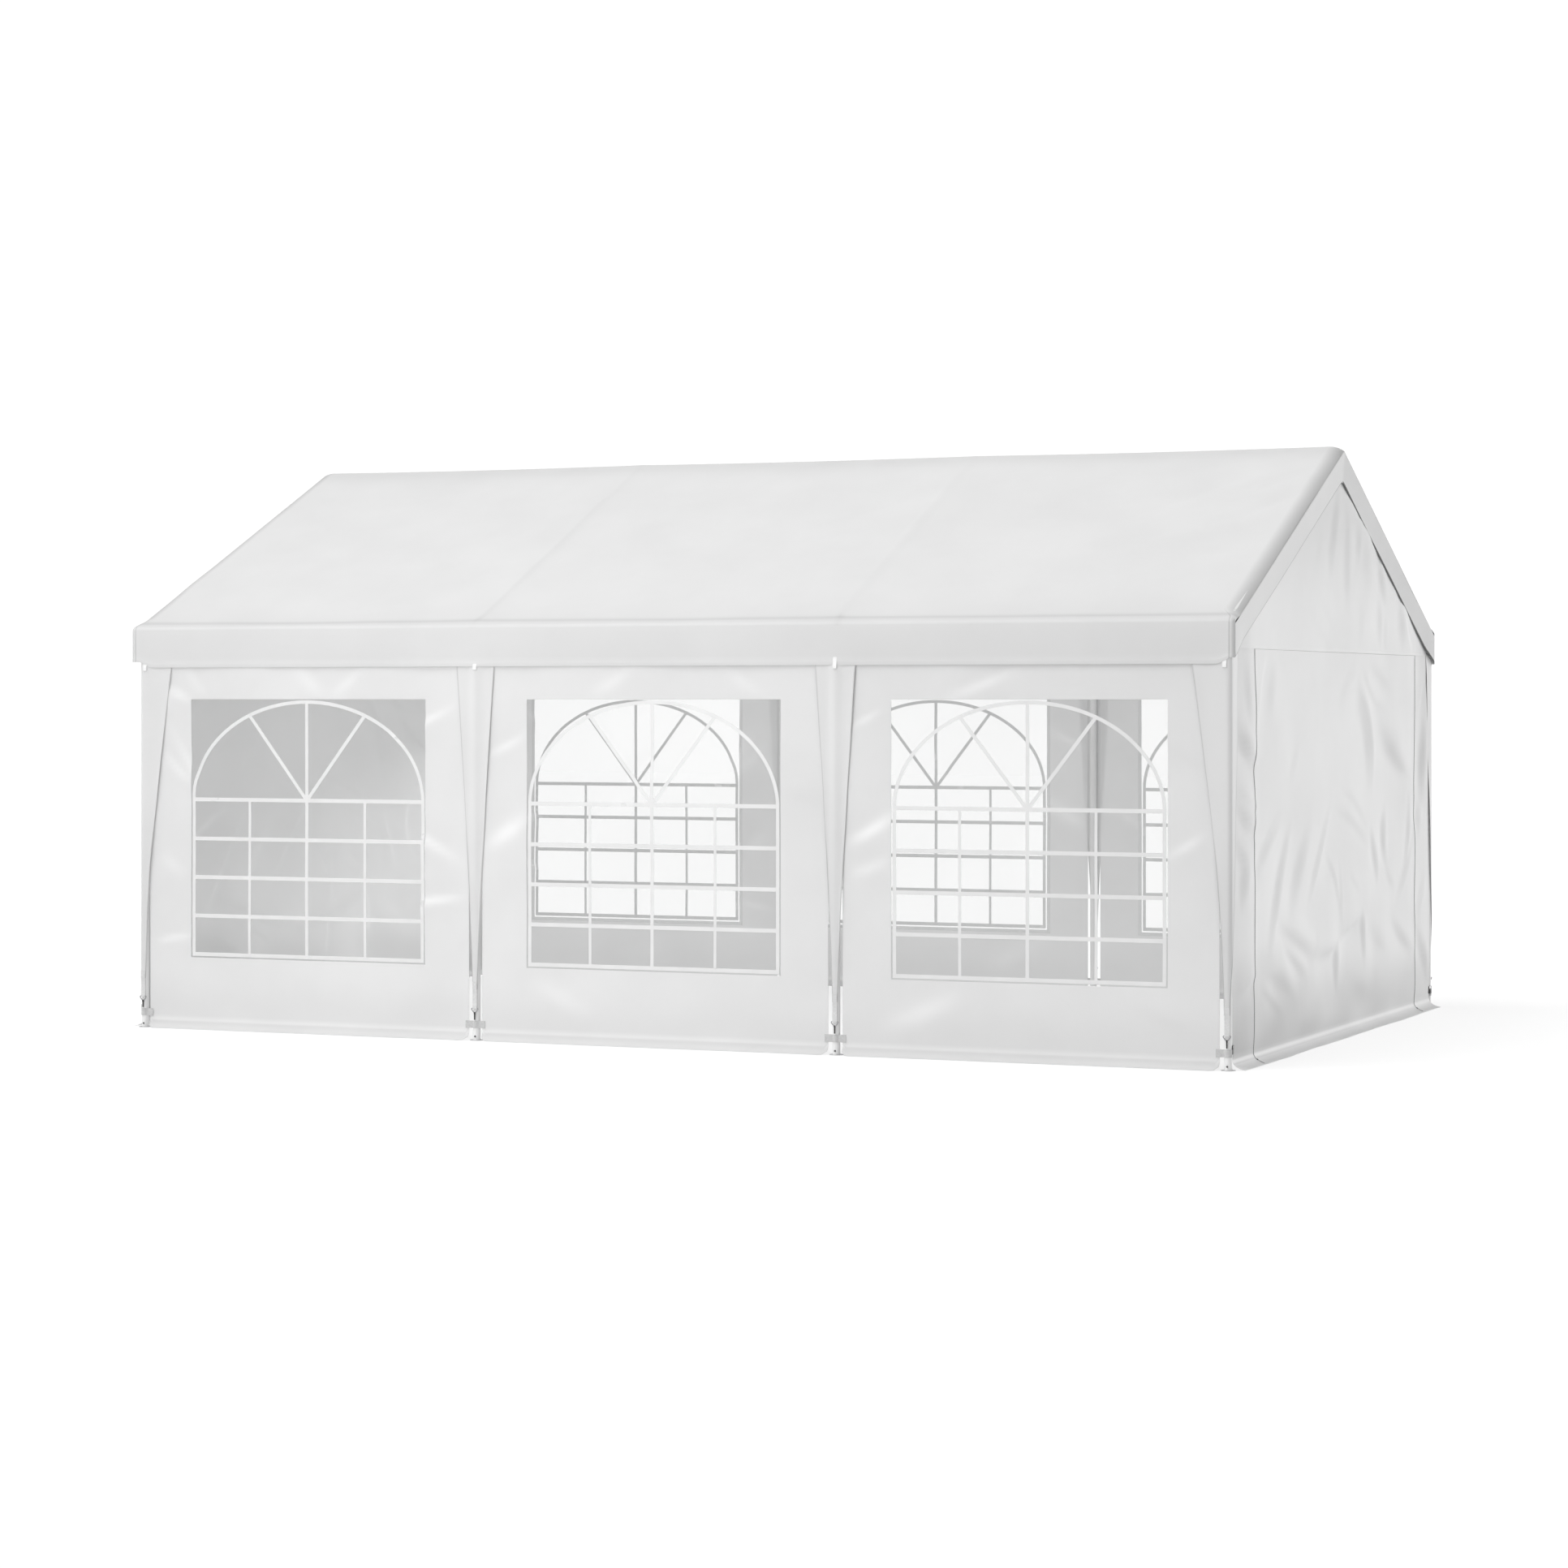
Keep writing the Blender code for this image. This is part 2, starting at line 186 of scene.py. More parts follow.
def ruled(low, high, step, stops=()):
    """Grid lines about a step apart, with a second line close beside each end and each stop."""
    places = [low, *stops, high]
    lines = [np.linspace(a, b, max(3, round((b - a) / step) + 1)) for a, b in zip(places, places[1:])]
    beside = [(a + EDGE_STEP, b - EDGE_STEP) for a, b in zip(places, places[1:])]
    return np.unique(np.round(np.concatenate([*lines, *beside]), 7))


def waves(a, b, seed, length, count=6):
    """A smooth random field from about -1 to 1.

    It is the mean of sine waves in seeded directions, with wavelengths around length.
    """
    rng = np.random.default_rng(seed)
    turns = rng.uniform(0, np.pi, count)
    lengths = length * rng.uniform(0.7, 1.6, count)
    phases = rng.uniform(0, 2 * np.pi, count)
    total = 0
    for turn, long, phase in zip(turns, lengths, phases):
        total = total + np.sin(2 * np.pi * (a * np.cos(turn) + b * np.sin(turn)) / long + phase)
    return total / count


def folds(a, b, lines):
    """The height of soft folds over the points (a, b).

    Each line is (start a, start b, end a, end b, bow, half width, height). Along the line the
    fold swells and dies away as a sine arch to the power 1.2. Across it, it is a step: it rises
    to its right by a hyperbolic tangent of its half width, and eases back by one four times as
    wide. The bow bends the line sideways as a parabola.
    """
    swell, aside, half, height = beside_folds(a, b, lines)
    step = np.tanh(aside / half) - np.tanh(aside / (4 * half))
    return (height * swell * step).sum(axis=-1)


def painted_fold_highlight(a, b, lines):
    """The painted highlight along raised folds: how much paler the cloth is, as a bell curve across each."""
    swell, aside, half, height = beside_folds(a, b, lines)
    return (np.clip(height, 0, None) * swell * bell(aside, half)).sum(axis=-1)


def beside_folds(a, b, lines):
    """For the points (a, b) and each fold: its swell, the distance aside, half width and height."""
    a0, b0, a1, b1, bow, half, height = np.asarray(lines, dtype=float).T
    da, db = a1 - a0, b1 - b0
    length = np.hypot(da, db)
    from_a, from_b = a[..., None] - a0, b[..., None] - b0
    along = np.clip((from_a * da + from_b * db) / length**2, 0, 1)
    aside = (from_a * db - from_b * da) / length - 4 * bow * along * (1 - along)
    return np.sin(np.pi * along) ** 1.2, aside, half, height


def hem(distance, width=HEM_WIDTH, height=HEM_HEIGHT):
    """The extra thickness of a folded hem, at a distance from the edge of the cloth."""
    return height * (1 - smoothstep(width - EDGE_STEP, width + EDGE_STEP, distance))


def placed(side, across, up, out):
    """Points on a side of the tent as X, Y, Z."""
    (way_x, way_y), base = SIDES[side]
    across, up, out = np.broadcast_arrays(across, up, out)
    x = way_x * (base + out) - way_y * across
    y = way_y * (base + out) + way_x * across
    return np.stack([x, y, up], axis=-1)


def post_across(side, number):
    """Where a post stands on its long side, as seen from outside."""
    return -SIDES[side][0][1] * POST_XS[number - 1]


def at_corner(number):
    """Whether a post stands at a corner of the tent."""
    return number in (1, BAYS + 1)


# Meshes

def add_object(name, data):
    """A new object in the scene, with this data."""
    obj = bpy.data.objects.new(name, data)
    bpy.context.scene.collection.objects.link(obj)
    return obj


def add_mesh(name, points, faces, finish, flat=None, grey=None):
    """A mesh object that rides on the tent.

    Cloth also has flat, each point's place on its flat pattern in metres, as its UV map, and
    grey, how much darker it is at each point, as an attribute.
    """
    mesh = bpy.data.meshes.new(name)
    mesh.from_pydata(points.tolist(), [], faces)
    mesh.shade_smooth()
    mesh.materials.append(finish)
    if flat is not None:
        corners = np.empty(len(mesh.loops), dtype=np.int32)
        mesh.loops.foreach_get("vertex_index", corners)
        pattern = mesh.uv_layers.new(name="flat")
        pattern.data.foreach_set("uv", flat[corners].ravel())
        shade = mesh.attributes.new("grey", "FLOAT", "POINT")
        shade.data.foreach_set("value", grey.astype(np.float32))
    obj = add_object(name, mesh)
    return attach(obj, "root")


def sharp(obj, degrees):
    """Marks the edges of a mesh that turn by more than an angle as sharp."""
    obj.data.set_sharp_from_angle(angle=math.radians(degrees))


def grid_faces(rows, columns, keep=None, ring=False):
    """The quads of a grid, counterclockwise when columns run to the right and rows up.

    keep marks the cells that stay, and ring joins the last column to the first.
    """
    index = np.arange(rows * columns).reshape(rows, columns)
    if ring:
        index = np.concatenate([index, index[:, :1]], axis=1)
    quads = np.stack([index[:-1, :-1], index[:-1, 1:], index[1:, 1:], index[1:, :-1]], axis=-1)
    return quads.reshape(-1, 4) if keep is None else quads[keep]


def cloth(name, points, flat, finish, thickness=CLOTH, keep=None, grey=None):
    """A sheet of cloth from a grid of points on its outer face, thickened inwards.

    flat is the points' distances across and along the flat pattern.
    """
    faces = grid_faces(*points.shape[:2], keep)
    used, faces = np.unique(faces, return_inverse=True)
    grey = np.broadcast_to(0.0 if grey is None else grey, points.shape[:2]).ravel()[used]
    flat = np.stack(np.broadcast_arrays(*flat), axis=-1).reshape(-1, 2)[used]
    points = points.reshape(-1, 3)[used]
    obj = add_mesh(name, points, faces.reshape(-1, 4).tolist(), finish, flat, grey)
    solid = obj.modifiers.new("thickness", "SOLIDIFY")
    solid.thickness = thickness
    solid.offset = -1
    return obj


def swept(path, section, outwards, scale=None, loop=False):
    """The points and faces of a closed bar: a section carried along a path.

    The section's first number goes sideways and its second outwards, and it runs
    counterclockwise seen from the path's far end. scale widens it at each point of the path.
    """
    path = np.asarray(path, dtype=float)
    section = np.asarray(section, dtype=float)
    steps = np.roll(path, -1, axis=0) - np.roll(path, 1, axis=0) if loop else np.gradient(path, axis=0)
    along = unit(steps)
    aside = unit(np.cross(np.broadcast_to(outwards, along.shape), along))
    outwards = np.cross(along, aside)
    size = np.ones(len(path)) if scale is None else np.asarray(scale, dtype=float)
    offsets = aside[:, None] * section[:, :1] + outwards[:, None] * section[:, 1:]
    points = path[:, None] + offsets * size[:, None, None]
    rows, columns = points.shape[:2]
    if loop:
        faces = grid_faces(rows + 1, columns, ring=True) % (rows * columns)
        return points.reshape(-1, 3), faces.tolist()
    faces = grid_faces(rows, columns, ring=True).tolist()
    first = list(range(columns))[::-1]
    last = list(range((rows - 1) * columns, rows * columns))
    return points.reshape(-1, 3), [*faces, first, last]


def joined(shapes):
    """Several (points, faces) shapes as one."""
    starts = np.cumsum([0] + [len(points) for points, _ in shapes]).tolist()
    faces = []
    for start, (_, part) in zip(starts, shapes):
        faces += [[corner + start for corner in face] for face in part]
    return np.concatenate([points for points, _ in shapes]), faces


def round_section(radius, sides):
    """A circle as (sideways, outwards) points, counterclockwise."""
    turn = np.linspace(0, 2 * np.pi, sides, endpoint=False)
    return np.stack([radius * np.cos(turn), radius * np.sin(turn)], axis=1)


def flat_section(width, height, low=0.0):
    """A rectangle as (sideways, outwards) points, its underside at low."""
    half = width / 2
    return np.array([(-half, low), (half, low), (half, low + height), (-half, low + height)])


# Finishes

def new_finish(name, slot, colour, roughness, metallic=0.0):
    """A material with its Principled shader, and the record's slot that it belongs to."""
    finish = bpy.data.materials.new(name)
    finish.use_nodes = True
    finish["slot"] = slot
    shader = finish.node_tree.nodes["Principled BSDF"]
    shader.inputs["Base Color"].default_value = (*colour, 1)
    shader.inputs["Roughness"].default_value = roughness
    shader.inputs["Metallic"].default_value = metallic
    return finish, finish.node_tree, shader


def node(tree, kind, inputs=(), **settings):
    """A new node; inputs are (name or number, value or socket) pairs."""
    made = tree.nodes.new(kind)
    for setting, value in settings.items():
        setattr(made, setting, value)
    for key, value in inputs:
        if isinstance(value, bpy.types.NodeSocket):
            tree.links.new(value, made.inputs[key])
        else:
            made.inputs[key].default_value = value
    return made


def mottled(tree, coordinates, size, low, high, detail=3.0):
    """A soft noise between two colours or two numbers, with patches about this size in metres."""
    inputs = [("Vector", coordinates), ("Scale", 1 / size), ("Detail", detail)]
    noise = node(tree, "ShaderNodeTexNoise", inputs).outputs["Fac"]
    if isinstance(low, tuple):
        ramp = node(tree, "ShaderNodeValToRGB", [("Fac", noise)])
        for element, position, colour in zip(ramp.color_ramp.elements, (0.3, 0.7), (low, high)):
            element.position = position
            element.color = (*colour, 1)
        return ramp.outputs["Color"]
    ranged = node(tree, "ShaderNodeMapRange", [("Value", noise), ("To Min", low), ("To Max", high)])
    return ranged.outputs["Result"]


def ribs(tree, coordinates, direction, period):
    """Fine parallel ribs across one direction of the coordinates, a period apart."""
    wave = node(
        tree, "ShaderNodeTexWave",
        [("Vector", coordinates), ("Scale", math.pi / (10 * period)), ("Distortion", 0.4), ("Detail", 1.0)],
        bands_direction=direction,
    )
    return wave.outputs["Fac"]


def roughened(tree, shader, height, strength, depth):
    """Gives a shader a bump of this height, and returns its normal."""
    bump = node(tree, "ShaderNodeBump", [("Height", height), ("Strength", strength), ("Distance", depth)])
    tree.links.new(bump.outputs["Normal"], shader.inputs["Normal"])
    return bump.outputs["Normal"]


def woven_finish(name, slot, dark, light, roughness, period, see_through):
    """Coated woven cloth: two crossed sets of tapes under a thin coat, with soft mottling.

    Some of the light passes through, so the inside of the tent isn't dark. The attribute grey
    darkens the cloth, mostly as painted shade and painted shadow lines, and where it is below 0
    it lightens the cloth as a painted highlight.
    """
    finish, tree, shader = new_finish(name, slot, light, roughness[0])
    flat = node(tree, "ShaderNodeUVMap", uv_map="flat").outputs["UV"]
    place = node(tree, "ShaderNodeTexCoord").outputs["Object"]
    grey = node(tree, "ShaderNodeAttribute", attribute_name="grey").outputs["Fac"]
    share = node(tree, "ShaderNodeMath", [(0, 1.0), (1, grey)], operation="SUBTRACT").outputs[0]
    mottles = mottled(tree, place, 0.45, dark, light)
    scaled = node(tree, "ShaderNodeVectorMath", [(0, mottles), ("Scale", share)], operation="SCALE")
    colour = scaled.outputs[0]
    across, along = ribs(tree, flat, "X", period), ribs(tree, flat, "Y", period)
    weave = node(tree, "ShaderNodeMath", [(0, across), (1, along)], operation="MAXIMUM").outputs[0]
    grain = mottled(tree, flat, 0.012, 0.0, 0.6)
    height = node(tree, "ShaderNodeMath", [(0, weave), (1, grain)], operation="ADD").outputs[0]
    normal = roughened(tree, shader, height, 0.35, WEAVE_DEPTH)
    tree.links.new(colour, shader.inputs["Base Color"])
    tree.links.new(mottled(tree, place, 0.08, *roughness), shader.inputs["Roughness"])
    shader.inputs["Specular IOR Level"].default_value = 0.15
    glow = node(tree, "ShaderNodeBsdfTranslucent", [("Color", colour), ("Normal", normal)])
    mix = node(tree, "ShaderNodeMixShader", [(0, see_through), (1, shader.outputs[0]), (2, glow.outputs[0])])
    tree.links.new(mix.outputs[0], tree.nodes["Material Output"].inputs["Surface"])
    return finish


def film_finish():
    """Clear film: nearly invisible, a little milky in places."""
    finish, tree, shader = new_finish("clear_film_glossy", "clear_film", (0.76, 0.77, 0.77), 0.08)
    flat = node(tree, "ShaderNodeUVMap", uv_map="flat").outputs["UV"]
    tree.links.new(mottled(tree, flat, 0.6, 0.08, 0.11, 1.0), shader.inputs["Alpha"])
    tree.links.new(mottled(tree, flat, 0.3, 0.05, 0.14), shader.inputs["Roughness"])
    return finish


def enamel_finish(name, slot, dark, light, roughness, metallic=0.0):
    """A coat of paint or zinc: slightly mottled, with a fine orange-peel surface."""
    finish, tree, shader = new_finish(name, slot, light, roughness[0], metallic)
    place = node(tree, "ShaderNodeTexCoord").outputs["Object"]
    tree.links.new(mottled(tree, place, 0.10, dark, light), shader.inputs["Base Color"])
    tree.links.new(mottled(tree, place, 0.03, *roughness), shader.inputs["Roughness"])
    roughened(tree, shader, mottled(tree, place, 0.004, 0.0, 1.0), 0.3, 0.00008)
    return finish


def webbing_finish(name, slot, dark, light):
    """Woven webbing with fine level ribs."""
    finish, tree, shader = new_finish(name, slot, light, 0.75)
    place = node(tree, "ShaderNodeTexCoord").outputs["Object"]
    tree.links.new(mottled(tree, place, 0.01, dark, light), shader.inputs["Base Color"])
    roughened(tree, shader, ribs(tree, place, "Z", 0.0022), 0.5, 0.0004)
    return finish


def tone(value):
    """A neutral grey as a colour."""
    return (value, value, value)


ROOF_CLOTH = woven_finish(
    "roof_cloth_coated", "roof_cloth", tone(0.795), tone(0.825), (0.60, 0.72), 0.0026, see_through=0.14
)
WALL_CLOTH = woven_finish(
    "wall_cloth_coated", "wall_cloth", tone(0.84), tone(0.87), (0.62, 0.75), 0.0022, see_through=0.27
)
CLEAR_FILM = film_finish()
BAR_WHITE = enamel_finish("window_bar_white", "window_bar", tone(0.715), tone(0.755), (0.3, 0.4))
WHITE_STEEL = enamel_finish("white_steel_coated", "white_steel", tone(0.74), tone(0.79), (0.28, 0.4))
PLATE_STEEL = enamel_finish(
    "plate_steel_zinc", "plate_steel", (0.52, 0.52, 0.53), tone(0.66), (0.3, 0.5), metallic=0.6
)
RING_STEEL = enamel_finish(
    "ring_steel_zinc", "ring_steel", (0.32, 0.32, 0.33), (0.45, 0.45, 0.46), (0.3, 0.45), metallic=0.8
)
WEBBING = webbing_finish("webbing_white", "webbing", tone(0.60), tone(0.68))
GREY_BAND = webbing_finish("grip_band_grey", "grey_band", tone(0.49), tone(0.57))
BLACK_PLASTIC = enamel_finish("hook_plastic_black", "black_plastic", tone(0.03), tone(0.055), (0.35, 0.5))
ZIP_TAPE = enamel_finish("zip_grey", "zip_tape", tone(0.30), tone(0.38), (0.4, 0.55))
ZIP_DARK = enamel_finish("zip_slider_dark", "zip_tape", tone(0.16), tone(0.22), (0.3, 0.45), metallic=0.4)
BOLT_DARK = enamel_finish("bolt_dark", "ring_steel", tone(0.10), tone(0.15), (0.35, 0.5), metallic=0.5)
TAB_WHITE = webbing_finish("tab_white", "webbing", tone(0.84), tone(0.88))


# The roof cover

def cover_line():
    """The rows of the roof cover, from the front valance's edge over the ridge to the back's.

    Each row has the centre that the cover bends or lies round, its outward direction, its drop
    below the eave and its share of the slope. The back half is the front half mirrored.
    """
    drops = ruled(0, VALANCE_DROP, 0.03, [VALANCE_DROP - HEM_WIDTH])[:0:-1]
    knee = np.linspace(np.pi, np.pi / 2 + SLOPE, 9)
    low_shares = np.linspace(0, CORNER_SHARE, 14)[1:]
    shares = np.concatenate([low_shares, np.linspace(CORNER_SHARE, 1, 68)[1:-1]])
    ridge = np.linspace(np.pi / 2 + SLOPE, np.pi / 2, 4)
    hanging, sloping = np.full(len(drops), np.pi), np.full(len(shares), np.pi / 2 + SLOPE)
    angles = np.concatenate([hanging, knee, sloping, ridge])
    share = np.concatenate([np.zeros(len(drops) + len(knee)), shares, np.ones(len(ridge))])
    drop = np.concatenate([drops, np.zeros(len(angles) - len(drops))])
    rise = RIDGE_HEIGHT + RIDGE_LIFT - EAVE_HEIGHT
    centre = np.stack([-POST_Y * (1 - share), EAVE_HEIGHT + share * rise], axis=1)
    outward = np.stack([np.cos(angles), np.sin(angles)], axis=1)
    mirror = np.array([-1, 1])
    return (
        np.concatenate([centre, centre[-2::-1] * mirror]),
        np.concatenate([outward, outward[-2::-1] * mirror]),
        np.concatenate([drop, drop[-2::-1]])[:, None],
        np.concatenate([share, share[-2::-1]])[:, None],
    )


def end_round(share):
    """The width, depth and turn of the cover's rounded end, which is wider on the slopes."""
    slope = smoothstep(0, CORNER_SHARE, share)
    width = CORNER_WIDTH + (RAKE_WIDTH - CORNER_WIDTH) * slope
    depth = CORNER_DEPTH + (RAKE_DEPTH - CORNER_DEPTH) * slope
    turn = CORNER_TURN + (RAKE_TURN - CORNER_TURN) * slope
    return width, depth, turn


def cover_columns(share):
    """The columns of the roof cover on each row: x, inset, to_seam, past_seam and to_end.

    At each gable the last columns turn inwards round part of an ellipse, and inset is how far
    in they lie. to_seam is the distance to the seam beside that round, past_seam how far round
    it a point is, from 0 to 1, and to_end the distance along to the end of the cover.
    """
    width, depth, end_turn = end_round(share)
    reach = width * np.sin(end_turn)
    left, right = reach - COVER_ENDS["left"], COVER_ENDS["right"] - reach
    turn = np.linspace(0, 1, 10)[1:] * end_turn
    beside = (END_SEAM + np.array([0.0025, 0, -0.0025])) / LENGTH
    inside = np.unique(np.concatenate([ruled(0, 1, 0.0050), beside, 1 - beside]))
    left_x, right_x = left - width * np.sin(turn[:, ::-1]), right + width * np.sin(turn)
    x = np.concatenate([left_x, left + (right - left) * inside, right_x], axis=1)
    round_in = depth * (1 - np.cos(turn))
    inset = np.concatenate([round_in[:, ::-1], np.zeros((len(share), len(inside))), round_in], axis=1)
    to_seam = np.minimum(np.abs(x - left - END_SEAM), np.abs(right - x - END_SEAM))
    past_seam = np.clip(np.maximum(left - x, x - right) / reach, 0, 1)
    to_end = np.minimum(x + COVER_ENDS["left"], COVER_ENDS["right"] - x)
    return x, inset, to_seam, past_seam, to_end


def bay_share(x):
    """Where x lies between two frames: 0 at one, 1 at the next."""
    return np.mod((x + POST_X) / BAY, 1.0)


# Soft folds on a slope of the roof: from (x, distance up the slope) to (x, distance), then the
# bow, half width and height. The first group fans out from the peak of a gable.
PEAK_FOLDS = [
    (2.95, 2.05, 2.05, 1.15, 0.03, 0.045, -0.0120),
    (2.96, 1.98, 2.40, 1.50, 0.02, 0.040, 0.0108),
    (2.97, 1.90, 2.66, 1.45, 0.02, 0.035, -0.0120),
    (2.97, 1.72, 2.55, 1.05, -0.02, 0.050, 0.0132),
    (2.97, 1.55, 2.58, 1.02, 0.02, 0.035, -0.0120),
    (2.85, 1.38, 1.98, 0.80, -0.03, 0.045, -0.0144),
    (2.60, 2.12, 1.35, 1.50, 0.03, 0.070, 0.0192),
    (2.96, 0.80, 2.50, 0.68, 0.02, 0.070, -0.0144),
]
FRONT_FOLDS = [
    (-2.05, 1.12, -1.70, 1.40, 0.01, 0.060, -0.0192),
    (-2.92, 0.34, -2.68, 0.72, 0.02, 0.065, -0.0173),
    (-2.55, 0.32, -1.60, 0.26, 0.04, 0.100, -0.0230),
    (-2.75, 2.02, -2.40, 1.90, 0.02, 0.050, -0.0115),
    (-1.75, 0.52, -1.48, 0.85, 0.01, 0.040, -0.0096),
    (-0.66, 1.38, -0.20, 1.50, 0.01, 0.050, -0.0154),
    (-0.38, 0.98, -0.05, 1.14, 0.01, 0.035, -0.0096),
    (-0.35, 0.20, 0.45, 0.17, 0.01, 0.080, -0.0154),
    (-0.95, 0.46, 0.05, 0.54, 0.02, 0.090, 0.0154),
    (-1.45, 1.62, -0.35, 1.84, 0.03, 0.080, 0.0154),
    (-2.80, 1.80, -1.60, 1.72, 0.05, 0.110, 0.0173),
    (0.38, 0.98, 0.98, 1.18, 0.03, 0.060, -0.0192),
    (0.56, 1.40, 0.96, 1.76, -0.02, 0.030, -0.0077),
    (1.00, 0.34, 1.50, 0.26, 0.02, 0.070, -0.0134),
    (1.38, 0.58, 1.75, 0.74, 0.02, 0.060, -0.0134),
    (-0.60, 2.10, -0.10, 2.04, 0.01, 0.040, -0.0096),
]


def slope_folds(way):
    """The folds of one slope: way is 1 at the front, and -1 at the back, turned end for end."""
    lines = PEAK_FOLDS + [far_fold(*line) for line in PEAK_FOLDS] + FRONT_FOLDS
    return [(way * a, b, way * c, d, way * bow, half, height) for a, b, c, d, bow, half, height in lines]


def far_fold(a, b, c, d, bow, half, height):
    """A fold of the right peak as the left one has it: mirrored, a little shorter and softer."""
    return -a, b - 0.08, -c, d + 0.06, -bow, half, 0.6 * height


def cover_relief(x, run, share, front, to_end):
    """How far the slopes stand out, and how far they sag.

    They stand out by ripples of sine waves, by folds, and by bell curves over the inner rafters.
    Between frames a slope sags as a flattened sine arch both ways, and the ridge a little with it.
    """
    on_slope = np.sin(np.pi * share)
    between = np.abs(np.sin(np.pi * bay_share(x)))
    calm_end = smoothstep(0.0, END_CALM, to_end)
    ridge_sag = RIDGE_SAG * between * calm_end * smoothstep(0, 1, share)
    sag = ROOF_SAG * between**0.9 * on_slope**0.7 + ridge_sag
    ripple = 0.0050 * waves(x, run + 3 * front, 11, 0.9) + 0.0012 * waves(x, run + 3 * front, 12, 0.30)
    creases = np.where(front, folds(x, run, slope_folds(1)), folds(x, run, slope_folds(-1)))
    over_rafters = bell(np.abs(x) - BAY / 2, 0.016)
    relief = (ripple * calm_end + creases) * on_slope**0.4 + 0.0035 * over_rafters * on_slope**0.3
    return relief, sag


def valance_flutter(x, front, low, to_end):
    """How far a long valance swings out: slow waves, a lean inwards, and a bell curve at each post."""
    posts = bell(x[..., None] - POST_XS, 0.030).sum(axis=-1)
    slow = waves(x, 2.0 * front, 23, 1.3)
    swing = 0.004 * slow * low**1.2 - 0.0060 * low**2 + 0.0018 * posts * (0.4 + 0.6 * low)
    return swing * smoothstep(0.0, END_CALM, to_end)


def cover_grey(x, run, share, low, to_seam, past_seam):
    """The grey of the roof cover.

    Painted shade darkens the foot of each slope above the eave, the ridge and the cover's turned
    ends, and painted shadow lines run in the end seams' grooves and beside the inner rafters. The
    valances are a little darker, more towards their lower edge.
    """
    on_corner = 1 - smoothstep(0, CORNER_SHARE, share)
    # Painted shade in a soft band at the foot of each slope, just above the eave
    eave_painted_shade = 0.13 * bell(run - 0.040, 0.018) + 0.050 * np.exp(-run / 0.22)
    # Painted shadow lines beside the inner rafters
    rafter_painted_shadow = 0.07 * bell(np.abs(x) - BAY / 2 - 0.006, 0.010) * (1 - 0.6 * share)
    # Painted shade towards the ridge
    ridge_painted_shade = 0.08 * bell(SLOPE_LENGTH - run, 0.12)
    # Painted shadow lines in the grooves of the end seams
    end_seam_painted_shadow = 0.30 * smoothstep(0.0030, 0.0005, to_seam) * on_corner
    # Painted shade over the cover's turned ends
    end_painted_shade = 0.42 * past_seam**1.15 * (1 - 0.5 * on_corner)
    surface = np.where(low > 0, 0.05 + 0.03 * low, eave_painted_shade + rafter_painted_shadow + ridge_painted_shade)
    return surface + end_seam_painted_shadow + end_painted_shade


def make_roof_cover():
    """One sheet over both slopes, with the long valances as its ends.

    A point lies a tube and its clearance away from its row's centre, and its relief more, less
    the sag and the inset of a turned end. A valance's rows hang below the centre by their drop.
    """
    centre, outward, drop, share = cover_line()
    x, inset, to_seam, past_seam, to_end = cover_columns(share)
    run = np.broadcast_to(share * SLOPE_LENGTH, x.shape)
    front = centre[:, :1] < -1e-6
    hanging = drop > 0
    low = drop / VALANCE_DROP
    relief, sag = cover_relief(x, run, share, front, to_end)
    groove = 0.0022 * smoothstep(0.0025, 0.0005, to_seam) * (1 - smoothstep(0, CORNER_SHARE, share))
    edge = hem(VALANCE_DROP - drop) * hanging
    reach = COVER_RADIUS - (inset + groove) - sag + relief * ~hanging
    reach = reach + valance_flutter(x, front, low, to_end) + edge
    corner = smoothstep(VALANCE_CORNER_WIDTH, 0, LENGTH / 2 - np.abs(x))
    lift = 1 - corner * VALANCE_CORNER_LIFT / VALANCE_DROP
    y = centre[:, :1] + outward[:, :1] * reach
    z = centre[:, 1:] + outward[:, 1:] * reach - drop * lift
    points = np.stack([x, y, z], axis=-1)
    steps = np.linalg.norm(np.diff(points[:, x.shape[1] // 2], axis=0), axis=1)
    length = np.concatenate([[0], np.cumsum(steps)])[:, None]
    grey = cover_grey(x, run, share, low, to_seam, past_seam)
    cover = cloth("roof_cover", points, (x, length), ROOF_CLOTH, grey=grey)
    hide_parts("roof_front", "roof_back", "valance_front", "valance_back")


def peaked(across, rounding=RIDGE_ROUND):
    """The distance from the middle, with its point rounded off as a hyperbola."""
    return np.sqrt(across**2 + rounding**2) - rounding


